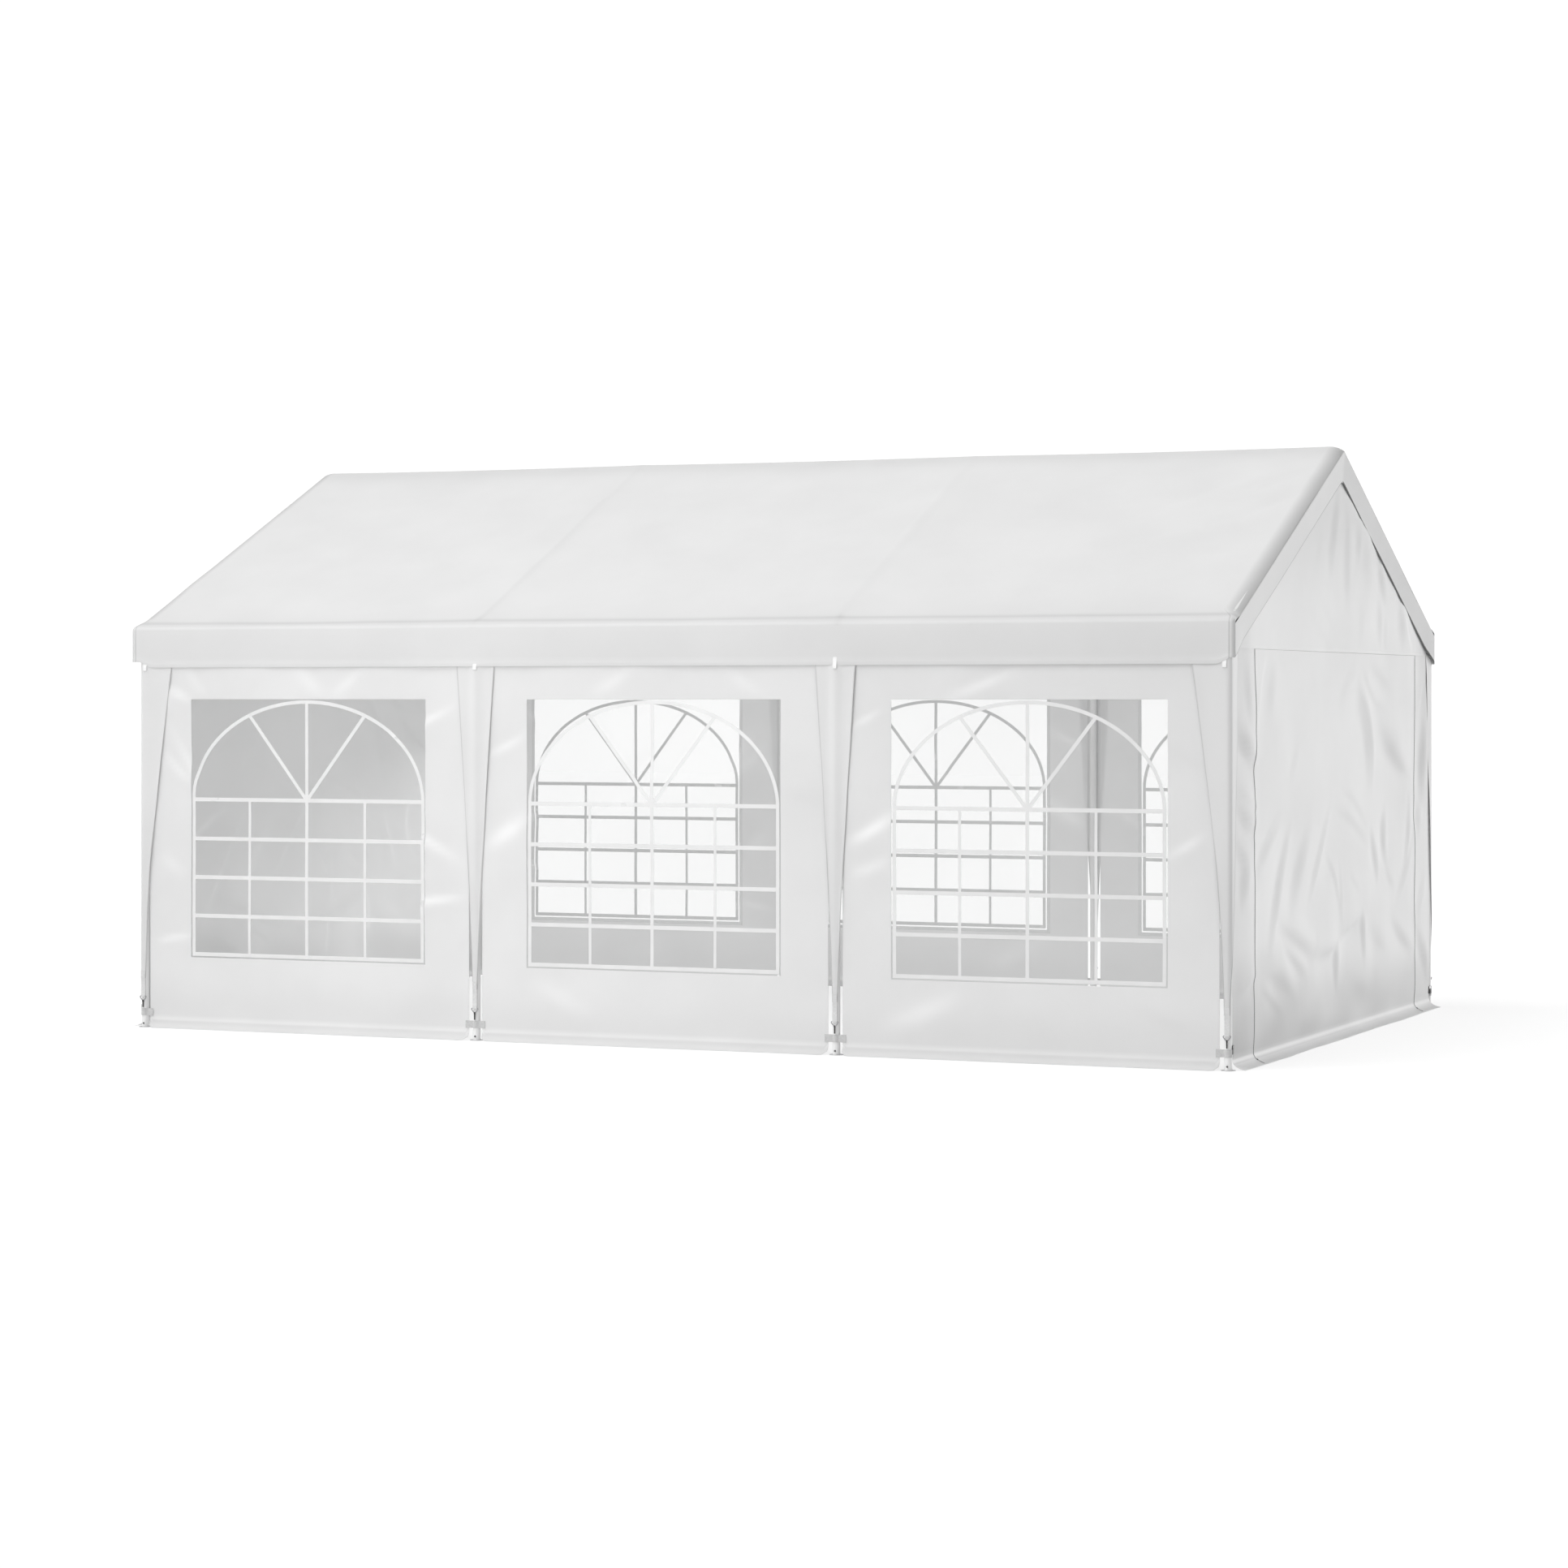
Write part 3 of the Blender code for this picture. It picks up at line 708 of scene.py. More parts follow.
def make_gable_valance(side, seed):
    """The strip that follows the slopes at a gable, from the turned end of the cover down.

    It hangs in line with the cover's end, and leans in towards its lower edge except at its ends,
    where it is sewn to the long valances.
    """
    depth = RAKE_DEPTH * (1 - math.cos(RAKE_TURN))
    half = POST_Y + COVER_RADIUS - CORNER_DEPTH * (1 - math.cos(CORNER_TURN)) - CLOTH
    across = ruled(-half, half, 0.03, [0.0])
    tilt = math.tan(SLOPE)
    height = GABLE_VALANCE_DROP - depth / math.cos(SLOPE)
    rows = ruled(0, height, 0.024, [THIN_PAINTED_SHADOW_LINE, BROAD_PAINTED_SHADOW_LINE, HEM_WIDTH])[:, None]
    ridge = RIDGE_HEIGHT + RIDGE_LIFT * (1 - np.abs(across) / POST_Y)
    top = ridge + (COVER_RADIUS - depth) / math.cos(SLOPE) - peaked(across, 0.004) * tilt
    low = ridge + COVER_RADIUS / math.cos(SLOPE) - GABLE_VALANCE_DROP - peaked(across) * tilt
    up = low + rows / height * (top - low)
    free = np.clip(1 - rows / height, 0, 1)
    sewn = smoothstep(0, 0.20, half - np.abs(across))
    flutter = (0.003 + 0.005 * waves(across, 0, seed, 0.9)) * free**1.3 * sewn
    under_cover = COVER_ENDS[side] - POST_X - 0.0003
    out = under_cover - VALANCE_LEAN * free * sewn + flutter + hem(rows, 0.016) * free
    points = placed(side, across, up, out)
    # The strip's lower edge gets a painted shadow line, thin on the front slope and broad on the back slope,
    # and the back slope's strip is a little darker, as painted shade.
    front_grey = 0.11 + 0.34 * (rows < THIN_PAINTED_SHADOW_LINE + 0.0001)
    rear_grey = 0.17 + 0.70 * (rows < BROAD_PAINTED_SHADOW_LINE + 0.0001)
    grey = np.where(GABLE_WAYS[side] * across > 0.015, rear_grey, front_grey)
    strip = cloth(f"gable_valance_{side}_cloth", points, (across, rows), ROOF_CLOTH, grey=grey)
    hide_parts(f"gable_valance_{side}")


# Walls with windows

def fall_line(reach, height):
    """The (length, up, out) of hanging cloth, from its lower edge on the ground upwards.

    The cloth leaves the ground gently, bends up as part of an ellipse of this reach and height,
    and goes on straight up. Lengths are summed along the line.
    """
    turn = np.linspace(math.radians(12), np.pi / 2, 40)
    up = height * (math.cos(turn[0]) - np.cos(turn)) / math.cos(turn[0])
    out = reach * (1 - np.sin(turn)) / (1 - math.sin(turn[0]))
    up, out = np.append(up, height + RIDGE_HEIGHT), np.append(out, 0.0)
    length = np.concatenate([[0], np.cumsum(np.hypot(np.diff(up), np.diff(out)))])
    return length, GROUND_GAP + up, out


WALL_FALL = fall_line(WALL_SKIRT, WALL_BEND_HEIGHT)
GABLE_FALL = fall_line(GABLE_SKIRT, GABLE_BEND_HEIGHT)


def fall(length, line, spread=1.0):
    """The (up, out) of a wall at a length from its lower edge, with its skirt widened by spread."""
    lengths, ups, outs = line
    return np.interp(length, lengths, ups), WALL_OUT + spread * np.interp(length, lengths, outs)


def bent_rows(bend, top, step, count, stops=()):
    """The lengths of a wall's rows: a count of them even round the bend at its foot, then ruled."""
    return np.unique(np.concatenate([np.linspace(0, bend, count), ruled(bend, top, step, stops)]))


def length_to(up, line):
    """The length along a wall from its lower edge to a height."""
    lengths, ups, _ = line
    return np.interp(up, ups, lengths)


# Folds of each wall of the front, from left to right: from (across, up) to (across, up), then
# the bow, half width and height. Those of the back are the same.
WALL_FOLDS = [
    [
        (-0.87, 1.83, -0.68, 1.72, 0.01, 0.022, 0.0083),
        (-0.86, 1.66, -0.30, 1.00, 0.06, 0.022, 0.0093),
        (-0.88, 1.49, -0.66, 1.28, 0.02, 0.020, 0.0080),
        (-0.94, 0.45, -0.66, 0.49, -0.01, 0.016, 0.0064),
        (0.38, 1.50, 0.90, 1.72, 0.01, 0.018, 0.0083),
        (0.28, 1.20, 0.96, 0.87, -0.02, 0.024, 0.0109),
        (0.44, 0.66, 0.98, 0.73, -0.01, 0.020, 0.0093),
        (-0.74, 1.93, -0.60, 1.74, 0.01, 0.026, 0.0054),
        (-0.08, 1.93, 0.12, 1.74, 0.01, 0.030, 0.0058),
        (0.12, 1.74, 0.36, 1.93, 0.01, 0.026, 0.0048),
        (-0.42, 1.74, -0.20, 1.93, 0.01, 0.026, -0.0042),
        (-0.20, 0.36, 0.30, 0.10, 0.02, 0.050, -0.0058),
        (-0.90, 0.95, -0.72, 0.80, 0.01, 0.030, 0.0048),
    ],
    [
        (-0.96, 1.44, -0.68, 1.58, 0.01, 0.020, 0.0064),
        (-0.96, 0.98, -0.68, 1.16, 0.01, 0.040, 0.0096),
        (-0.40, 1.00, 0.30, 1.76, 0.02, 0.020, 0.0064),
        (-0.36, 1.76, -0.10, 1.90, 0.01, 0.028, 0.0048),
        (0.40, 1.90, 0.60, 1.76, 0.01, 0.026, 0.0051),
        (0.68, 1.32, 0.94, 1.22, 0.01, 0.024, -0.0048),
        (0.26, 0.40, 0.48, 0.16, 0.01, 0.020, -0.0042),
        (0.42, 0.40, 0.66, 0.10, 0.01, 0.022, -0.0045),
        (-0.70, 0.34, -0.30, 0.14, 0.01, 0.045, 0.0054),
    ],
    [
        (-0.96, 1.02, -0.66, 1.20, 0.01, 0.030, 0.0102),
        (-0.94, 0.88, -0.70, 0.97, 0.01, 0.026, 0.0054),
        (-0.94, 1.60, -0.74, 1.70, 0.01, 0.016, 0.0067),
        (0.66, 1.56, 0.94, 1.38, 0.01, 0.024, -0.0070),
        (0.66, 0.98, 0.90, 1.12, 0.01, 0.020, 0.0058),
        (-0.44, 1.74, -0.02, 1.90, 0.01, 0.022, 0.0064),
        (0.10, 1.90, 0.44, 1.75, 0.01, 0.030, -0.0054),
        (0.40, 0.36, 0.92, 0.14, 0.02, 0.034, -0.0077),
        (-0.80, 0.14, -0.30, 0.34, 0.02, 0.045, 0.0064),
    ],
]


def wall_ripple(number, seed, across, up):
    """How far a window wall stands out of flat: slow waves and folds, calm at its top and sides."""
    calm_side = 0.35 + 0.65 * smoothstep(0, 0.08, WALL_HALF - np.abs(across))
    calm = smoothstep(0, 0.10, WALL_TOP - up) * calm_side
    slow = 0.0045 * waves(across, up, seed, 0.9) + 0.0014 * waves(across, up, seed + 1, 0.30)
    return (slow + folds(across, up, WALL_FOLDS[number - 1])) * calm


def make_window_wall(side, number, seed):
    """A wall between two posts with its window hole, its film and the bars on the film.

    Its rows follow the fall line, and its lower corners are trimmed round as quarter circles.
    """
    middle = (post_across(side, number) + post_across(side, number + 1)) / 2
    bend, low, high, top = (
        float(length_to(up, WALL_FALL))
        for up in (GROUND_GAP + WALL_BEND_HEIGHT, WINDOW_BOTTOM, WINDOW_TOP, WALL_TOP)
    )
    across = ruled(-WALL_HALF, WALL_HALF, 0.022, [-WINDOW_HALF, WINDOW_HALF])[None, :]
    length = bent_rows(bend, top, 0.022, 12, [low, high])[:, None]
    near_side = np.maximum(WALL_TRIM - (WALL_HALF - np.abs(across)), 0)
    trimmed = WALL_TRIM - np.sqrt(WALL_TRIM**2 - near_side**2)
    raised = trimmed + length * (1 - trimmed / WALL_TRIM_REACH)
    length_here = np.where(length < WALL_TRIM_REACH, raised, length)
    up, out = fall(length_here, WALL_FALL, 1 + 0.16 * waves(across, 0, seed + 5, 0.8))
    ripple = wall_ripple(number, seed, across, up) * smoothstep(0, bend, length)
    hems = hem(WALL_HALF - np.abs(across)) + hem(length)
    points = placed(side, middle + across, up, out + ripple + hems)
    flat = (middle + across, length)
    cell_across = (across[:, 1:] + across[:, :-1]) / 2
    cell_length = (length[1:] + length[:-1]) / 2
    hole = (np.abs(cell_across) < WINDOW_HALF) & (cell_length > low) & (cell_length < high)
    grey = wall_grey(number, across, up)
    wall = cloth(f"wall_{side}_{number}_cloth", points, flat, WALL_CLOTH, keep=~hole, grey=grey)
    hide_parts(f"wall_{side}_{number}")
    make_film(side, number, seed, middle)
    make_bars(side, number, seed, middle)


def wall_grey(number, across, up):
    """The grey of a window wall: painted shade near the ground, and painted highlights on its bend and along
    its raised folds.
    """
    # Painted shade near the ground, darkest on the skirt
    painted_ground_shade = 0.10 * smoothstep(0.045, 0.035, up) + 0.04 * smoothstep(0.30, 0.08, up)
    # A painted highlight along the bend above the skirt
    bend = 0.07 * bell(up - 0.050, 0.008)
    return painted_ground_shade - bend - FOLD_PAINTED_HIGHLIGHT * painted_fold_highlight(across, up, WALL_FOLDS[number - 1])


def film_out(number, seed, across, up):
    """How far out the outer face of the film stands, just behind the wall."""
    return WALL_OUT - CLOTH - 0.0004 + wall_ripple(number, seed, across, up)


def make_film(side, number, seed, middle):
    """The clear film behind a window hole, lapped over its edges."""
    half = WINDOW_HALF + FILM_LAP
    across = np.linspace(-half, half, 61)[None, :]
    up = np.linspace(WINDOW_BOTTOM - FILM_LAP, WINDOW_TOP + FILM_LAP, 59)[:, None]
    across, up = np.broadcast_arrays(across, up)
    points = placed(side, middle + across, up, film_out(number, seed, across, up))
    flat = (middle + across, up)
    film = cloth(f"window_{side}_{number}_film", points, flat, CLEAR_FILM, thickness=FILM)
    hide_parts(f"window_{side}_{number}")


def bar_lines():
    """The bars of a window, each as its (across, up) points, its width and its share of BAR_HEIGHT.

    Below the springing line they make a grid; above it an arch as half an ellipse, with three
    spokes from the middle of the springing line.
    """
    edge = WINDOW_HALF - BAR_INSET
    upright = edge - BAR_WIDTH / 2
    low = CROSS_BAR_HEIGHTS[-1]
    lines = [([(-edge, up), (edge, up)], CROSS_BAR_WIDTH, 1.0) for up in CROSS_BAR_HEIGHTS]
    lines += [([(x, low), (x, SPRING_HEIGHT)], BAR_WIDTH, 0.9) for x in (-upright, upright)]
    lines += [([(x, low), (x, SPRING_HEIGHT)], THIN_BAR_WIDTH, 0.9) for x in (-SPOKE_ACROSS, SPOKE_ACROSS)]
    lines.append(([(0, low), (0, SPRING_HEIGHT + ARCH_RISE)], BAR_WIDTH, 0.8))
    spoke_top = SPRING_HEIGHT + ARCH_RISE * math.sqrt(1 - (SPOKE_ACROSS / ARCH_HALF) ** 2)
    lines += [([(0, SPRING_HEIGHT), (x, spoke_top)], BAR_WIDTH, 0.7) for x in (-SPOKE_ACROSS, SPOKE_ACROSS)]
    turn = np.linspace(0, np.pi, 49)
    arch = np.stack([ARCH_HALF * np.cos(turn), SPRING_HEIGHT + ARCH_RISE * np.sin(turn)], axis=1)
    return lines + [(arch, BAR_WIDTH, 1.1)]


def make_bars(side, number, seed, middle):
    """The white bars welded on a window's film, which lie on it and follow its ripples."""
    shapes = []
    for line, width, height in bar_lines():
        line = np.asarray(line, dtype=float)
        if len(line) == 2:
            count = max(3, round(np.linalg.norm(line[1] - line[0]) / 0.05))
            line = line[0] + np.linspace(0, 1, count)[:, None] * (line[1] - line[0])
        along = unit(np.gradient(line, axis=0))
        # The section's corners run counterclockwise seen from the bar's far end.
        sideways = np.array([-1, 1, 1, -1]) * width / 2
        raised = np.array([0, 0, 1, 1]) * BAR_HEIGHT * height
        across = line[:, :1] - along[:, 1:] * sideways
        up = line[:, 1:] + along[:, :1] * sideways
        points = placed(side, middle + across, up, film_out(number, seed, across, up) + 0.0001 + raised)
        faces = grid_faces(len(line), 4, ring=True).tolist()
        ends = [[3, 2, 1, 0], [4 * len(line) - 4 + n for n in range(4)]]
        shapes.append((points.reshape(-1, 3), faces + ends))
    points, faces = joined(shapes)
    sharp(add_mesh(f"window_{side}_{number}_bars", points, faces, BAR_WHITE), 30)


# Gable walls and doors

def gable_spread(side, across):
    """How wide a gable's skirt is, as a share of the usual, which wanders along the gable."""
    seed = 40 if side == "right" else 41
    return 1 + 0.12 * waves(across, 0, seed, 0.9) + 0.07 * waves(across, 0, seed + 2, 0.35)


# Folds of a gable's triangle, door and side strips: from (across, up) to (across, up), then the
# bow, half width and height.
TRIANGLE_FOLDS = [
    (-0.01, 2.86, -0.22, 2.34, 0.01, 0.028, -0.0119),
    (0.13, 2.74, 0.13, 2.18, 0.00, 0.030, -0.0108),
    (0.37, 2.70, 0.36, 2.42, 0.01, 0.030, -0.0115),
    (0.42, 2.64, 0.66, 2.32, 0.02, 0.070, -0.0144),
    (0.78, 2.56, 0.96, 2.22, 0.01, 0.032, -0.0144),
    (0.82, 2.32, 0.84, 1.99, 0.01, 0.030, -0.0090),
    (0.95, 2.20, 0.93, 1.99, 0.01, 0.020, -0.0061),
    (1.26, 2.34, 1.33, 1.99, 0.01, 0.045, -0.0137),
    (1.28, 2.26, 1.58, 1.97, 0.01, 0.018, 0.0058),
    (-0.60, 2.20, -0.10, 2.00, 0.02, 0.028, -0.0065),
    (-0.50, 2.32, 0.06, 2.04, 0.02, 0.024, -0.0065),
    (0.52, 2.20, 0.30, 2.02, 0.01, 0.028, -0.0072),
    (-0.32, 2.62, -0.50, 2.36, 0.01, 0.026, -0.0050),
]
DOOR_FOLDS = [
    (0.30, 1.84, 0.60, 1.20, -0.10, 0.050, -0.0228),
    (0.34, 1.84, 0.64, 1.20, -0.11, 0.016, -0.0054),
    (0.42, 1.92, 1.02, 1.68, 0.07, 0.020, -0.0075),
    (0.58, 1.93, 1.10, 1.80, 0.01, 0.030, -0.0116),
    (0.74, 1.64, 1.46, 1.31, 0.02, 0.060, -0.0322),
    (0.88, 1.54, 1.56, 1.29, 0.02, 0.020, -0.0083),
    (0.98, 1.18, 0.96, 0.82, 0.085, 0.028, -0.0166),
    (1.47, 1.26, 1.35, 0.78, -0.045, 0.022, -0.0116),
    (1.60, 1.02, 1.12, 0.60, -0.03, 0.020, -0.0112),
    (0.92, 0.83, 1.16, 0.71, 0.01, 0.020, -0.0070),
    (0.60, 1.08, 0.76, 0.73, -0.01, 0.024, -0.0145),
    (0.00, 0.92, 0.01, 0.54, 0.00, 0.014, -0.0046),
    (0.14, 0.86, 0.42, 0.72, 0.01, 0.015, -0.0049),
    (-0.06, 0.49, 0.46, 0.60, -0.01, 0.030, -0.0277),
    (0.42, 0.66, 0.46, 0.32, 0.00, 0.020, -0.0116),
    (0.56, 0.54, 1.04, 0.38, 0.02, 0.050, -0.0186),
    (1.02, 0.58, 1.62, 0.32, 0.02, 0.030, -0.0186),
    (-0.55, 1.18, -1.04, 0.60, 0.01, 0.044, -0.0227),
    (-0.92, 1.16, -1.40, 0.47, 0.01, 0.026, -0.0182),
    (-1.10, 1.16, -1.60, 0.90, 0.02, 0.025, -0.0227),
    (-0.16, 1.24, -0.70, 0.66, 0.01, 0.018, -0.0126),
    (-0.14, 1.19, 0.62, 0.94, -0.03, 0.020, -0.0091),
    (-0.04, 1.29, 0.56, 1.05, -0.03, 0.018, -0.0076),
    (-0.34, 0.96, 0.01, 0.58, -0.07, 0.015, -0.0076),
    (-1.26, 0.66, -0.40, 0.43, 0.01, 0.034, -0.0290),
    (-0.52, 0.44, 0.00, 0.47, 0.01, 0.040, -0.0353),
    (-1.12, 0.53, -0.62, 0.34, -0.01, 0.028, -0.0202),
    (-1.52, 0.42, -0.80, 0.24, -0.04, 0.042, -0.0302),
    (-1.54, 0.37, -1.04, 0.19, 0.00, 0.020, -0.0101),
    (-0.05, 0.52, -0.07, 0.22, 0.00, 0.020, -0.0126),
    (-1.36, 1.98, -1.56, 1.56, 0.02, 0.024, 0.0111),
    (-1.22, 1.95, -1.40, 1.60, 0.01, 0.050, -0.0161),
    (-0.78, 1.50, -0.98, 1.34, 0.01, 0.022, -0.0101),
    (0.36, 1.93, -0.04, 1.72, 0.01, 0.024, -0.0103),
    (0.10, 0.30, 0.70, 0.17, 0.02, 0.050, -0.0145),
]
STRIP_FOLDS = [
    (-1.92, 1.64, -1.54, 1.40, 0.01, 0.034, -0.0297),
    (-1.92, 1.35, -1.56, 1.20, 0.01, 0.014, -0.0097),
    (-1.92, 1.26, -1.56, 1.10, 0.01, 0.030, -0.0226),
    (-1.92, 1.08, -1.66, 0.92, 0.01, 0.020, -0.0119),
    (-1.68, 0.98, -1.84, 0.74, 0.01, 0.030, -0.0226),
    (-1.92, 0.34, -1.56, 0.42, 0.01, 0.020, -0.0216),
    (-1.74, 1.96, -1.66, 1.58, 0.01, 0.024, -0.0108),
    (1.82, 1.68, 1.75, 1.12, 0.01, 0.032, -0.0205),
    (1.88, 1.92, 1.66, 1.60, 0.01, 0.020, 0.0097),
    (1.72, 1.16, 1.66, 0.98, 0.01, 0.026, -0.0135),
    (1.62, 0.50, 1.95, 0.16, 0.01, 0.030, -0.0189),
    (1.86, 0.74, 1.64, 0.54, 0.01, 0.020, -0.0135),
]


def gable_ripple(side, across, up):
    """How far a gable's wall and door stand out of flat: slow waves and folds, calm at the edges.

    The left gable's folds are the right one's, mirrored.
    """
    seed = 60 if side == "right" else 61
    way = GABLE_WAYS[side]
    top = RIDGE_HEIGHT - np.abs(across) * math.tan(SLOPE) - GABLE_TOP_DROP
    calm_side = 0.3 + 0.7 * smoothstep(0, 0.10, GABLE_HALF - np.abs(across))
    calm = smoothstep(0, 0.15, top - up) * calm_side
    slow = 0.007 * waves(across, up, seed, 0.9) + 0.0030 * waves(across * 2.0, up, seed + 1, 0.50)
    creases = folds(way * across, up, TRIANGLE_FOLDS + DOOR_FOLDS + STRIP_FOLDS)
    return (slow + creases + 0.006) * calm * smoothstep(0.03, 0.16, up)


def gable_grey(side, across, length):
    """The grey of a gable's cloth.

    Painted shade darkens it near the ground, in uneven patches, and on the skirt, and a painted
    highlight lightens the bend between them. The strips beside the door and the peak get painted
    shade too, the far strip in its upper part.
    """
    up, _ = fall(length, GABLE_FALL)
    seed = 70 if side == "right" else 71
    place = GABLE_WAYS[side] * across
    # Painted shade near the ground, in uneven patches, less towards the back and more towards the front
    patchy = 1 + 0.4 * waves(across, 2.5 * length, seed, 0.7) - 0.45 * smoothstep(0.4, 1.8, place)
    edge = 0.06 * waves(1.6 * across, up, seed + 4, 0.8)
    painted_ground_shade = 0.18 * smoothstep(0.48, 0.10, up + edge) * patchy
    painted_ground_shade = painted_ground_shade + 0.06 * smoothstep(-0.4, -1.3, place) * smoothstep(0.60, 0.42, up)
    # Painted shade on the strips beside the door, the far one only in its upper part
    near_strip_painted_shade = smoothstep(-1.58, -1.80, place) * (0.07 + 0.03 * waves(across, up, seed + 2, 0.5))
    far_strip_painted_shade = smoothstep(1.55, 1.85, place) * smoothstep(0.95, 1.55, up) * 0.10
    # A painted highlight along the bend above the skirt
    bend = bell(up - 0.040, 0.012)
    # Painted shade towards the peak, under the valances
    peak = 0.10 * smoothstep(2.15, 2.75, up)
    # The skirt on the ground is painted an even shade
    grey = np.where(up < 0.026, 0.07, painted_ground_shade + near_strip_painted_shade + far_strip_painted_shade + peak)
    return grey * (1 - 0.95 * bend) - 0.07 * bend


def gable_placed(side, across, length, extra=0.0):
    """Points on a gable's wall or door at a length from its lower edge, standing out by extra."""
    across, length = np.broadcast_arrays(across, length)
    up, out = fall(length, GABLE_FALL, gable_spread(side, across))
    return placed(side, across, up, out + gable_ripple(side, across, up) + extra)


def gable_rows(top, step, count):
    """The lengths of a gable's rows from the edge on the ground, with a count of them on the bend."""
    return bent_rows(float(length_to(GROUND_GAP + GABLE_BEND_HEIGHT, GABLE_FALL)), top, step, count)


def make_gable_wall(side):
    """The wall of a gable, with side strips and a triangle round the doorway.

    Above the doorway's seam its rows close up evenly to the slopes.
    """
    across = ruled(-GABLE_HALF, GABLE_HALF, 0.028, [-DOOR_HALF, DOOR_HALF])[None, :]
    doorway = float(length_to(DOOR_TOP, GABLE_FALL))
    seam_top = doorway + SEAM_WIDTH
    seam = [doorway + EDGE_STEP, seam_top - EDGE_STEP, seam_top]
    level = np.concatenate([gable_rows(doorway, 0.028, 12), seam])[:, None]
    top = length_to(RIDGE_HEIGHT - GABLE_TOP_DROP - peaked(across) * math.tan(SLOPE), GABLE_FALL)
    above = seam_top + ruled(0, 1, 0.042)[1:, None] * (top - doorway - SEAM_WIDTH)
    length = np.concatenate([np.broadcast_to(level, (len(level), across.shape[1])), above])
    seamed = (length > doorway - EDGE_STEP / 2) & (length < seam_top - EDGE_STEP / 2)
    hems = hem(GABLE_HALF - np.abs(across)) + hem(np.abs(np.abs(across) - DOOR_HALF), DOOR_HEM)
    points = gable_placed(side, across, length, HEM_HEIGHT * seamed + hems)
    middle = (across[:, 1:] + across[:, :-1]) / 2
    keep = (np.abs(middle) > DOOR_HALF) | (length[:-1, :1] > doorway - EDGE_STEP / 2)
    grey = gable_grey(side, across, length)
    wall = cloth(f"gable_wall_{side}_cloth", points, (across, length), WALL_CLOTH, keep=keep, grey=grey)
    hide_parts(f"gable_wall_{side}")


def make_gable_door(side):
    """The door of a gable, which closes the doorway between its two zips."""
    half = DOOR_HALF - EDGE_STEP
    top = float(length_to(DOOR_TOP, GABLE_FALL)) - EDGE_STEP
    across = ruled(-half, half, 0.018)[None, :]
    length = gable_rows(top, 0.018, 14)[:, None]
    hems = hem(half - np.abs(across), DOOR_HEM) + hem(length) + hem(top - length, DOOR_TOP_HEM)
    points = gable_placed(side, across, length, hems)
    grey = gable_grey(side, across, length)
    door = cloth(f"gable_door_{side}_cloth", points, (across, length), WALL_CLOTH, grey=grey)
    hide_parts(f"gable_door_{side}")


def make_zip(side, across, name):
    """A zip beside the door: a narrow chain of teeth down to the skirt, with its slider and pull."""
    out_way = np.array([*SIDES[side][0], 0.0])

    def swept_down(length, extra, section, scale):
        return swept(gable_placed(side, across, length, extra), section, out_way, scale)

    length = np.arange(float(length_to(DOOR_TOP, GABLE_FALL)), TEETH_END, -TOOTH_STEP)
    teeth = np.where(np.arange(len(length)) % 2 == 0, 1.0, 0.72)
    chain = swept_down(length, 0.0012, flat_section(0.0065, 0.0022), teeth)
    rounded = [0.7, 1.0, 1.0, 1.0, 0.7]
    slider = swept_down(np.linspace(0.058, 0.048, 5), 0.0016, flat_section(0.007, 0.004), rounded)
    hanging = 0.0058 - 0.003 * np.linspace(0, 1, 12)
    paddle = [0.6] + [0.75] * 4 + [1.0] * 6 + [0.7]
    pull = swept_down(np.linspace(0.050, 0.016, 12), hanging, flat_section(0.005, 0.0014), paddle)
    parts = {"chain": (chain, ZIP_TAPE), "slider": (slider, ZIP_DARK), "pull": (pull, ZIP_DARK)}
    for part, (shape, finish) in parts.items():
        sharp(add_mesh(f"zip_{part}_{side}_{name}", *shape, finish), 35)


# Leg covers and their fastenings

def leg_half(up, top_half):
    """Half the width of a leg cover at a height, which grows upwards as the power LEG_CURVE."""
    share = np.clip((up - LEG_BOTTOM) / (VALANCE_BOTTOM - LEG_BOTTOM), 0, None)
    return LEG_FOOT_HALF + (top_half - LEG_FOOT_HALF) * share**LEG_CURVE


def leg_wing(up, share, seed, power):
    """How far the free edges of a leg cover lift: slow waves, calm at the foot and the top."""
    lift = 0.003 + 0.004 * waves(up, 3 * np.sign(share), seed, 0.6)
    return lift * np.abs(share) ** power * smoothstep(0.35, 0.9, up) * smoothstep(1.95, 1.85, up)


def leg_hem(share, half):
    """The hem along both edges of a leg cover."""
    return hem((1 - np.abs(share)) * half, LEG_HEM, LEG_HEM_HEIGHT)


def leg_grey(up, share, half):
    """The grey of a leg cover: more towards its foot, with painted shadow along its edges and painted shade
    at two creases.
    """
    # Painted shadow along both edges, where they stand off the wall
    edge = 0.22 * smoothstep(0.0045, 0.0035, (1 - np.abs(share)) * half)
    # Painted shade in two horizontal creases
    creases = sum(0.05 * bell(up - crease, 0.004) for crease in (1.535, 1.03))
    return 0.035 + 0.07 * smoothstep(1.5, 0.35, up) + edge + creases


def finish_leg(side, number, points, width, up, grey):
    """Makes a leg cover in place of its part, and hides that part."""
    leg = cloth(f"leg_cover_{side}_{number}_cloth", points, (width, up), ROOF_CLOTH, grey=grey)
    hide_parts(f"leg_cover_{side}_{number}")


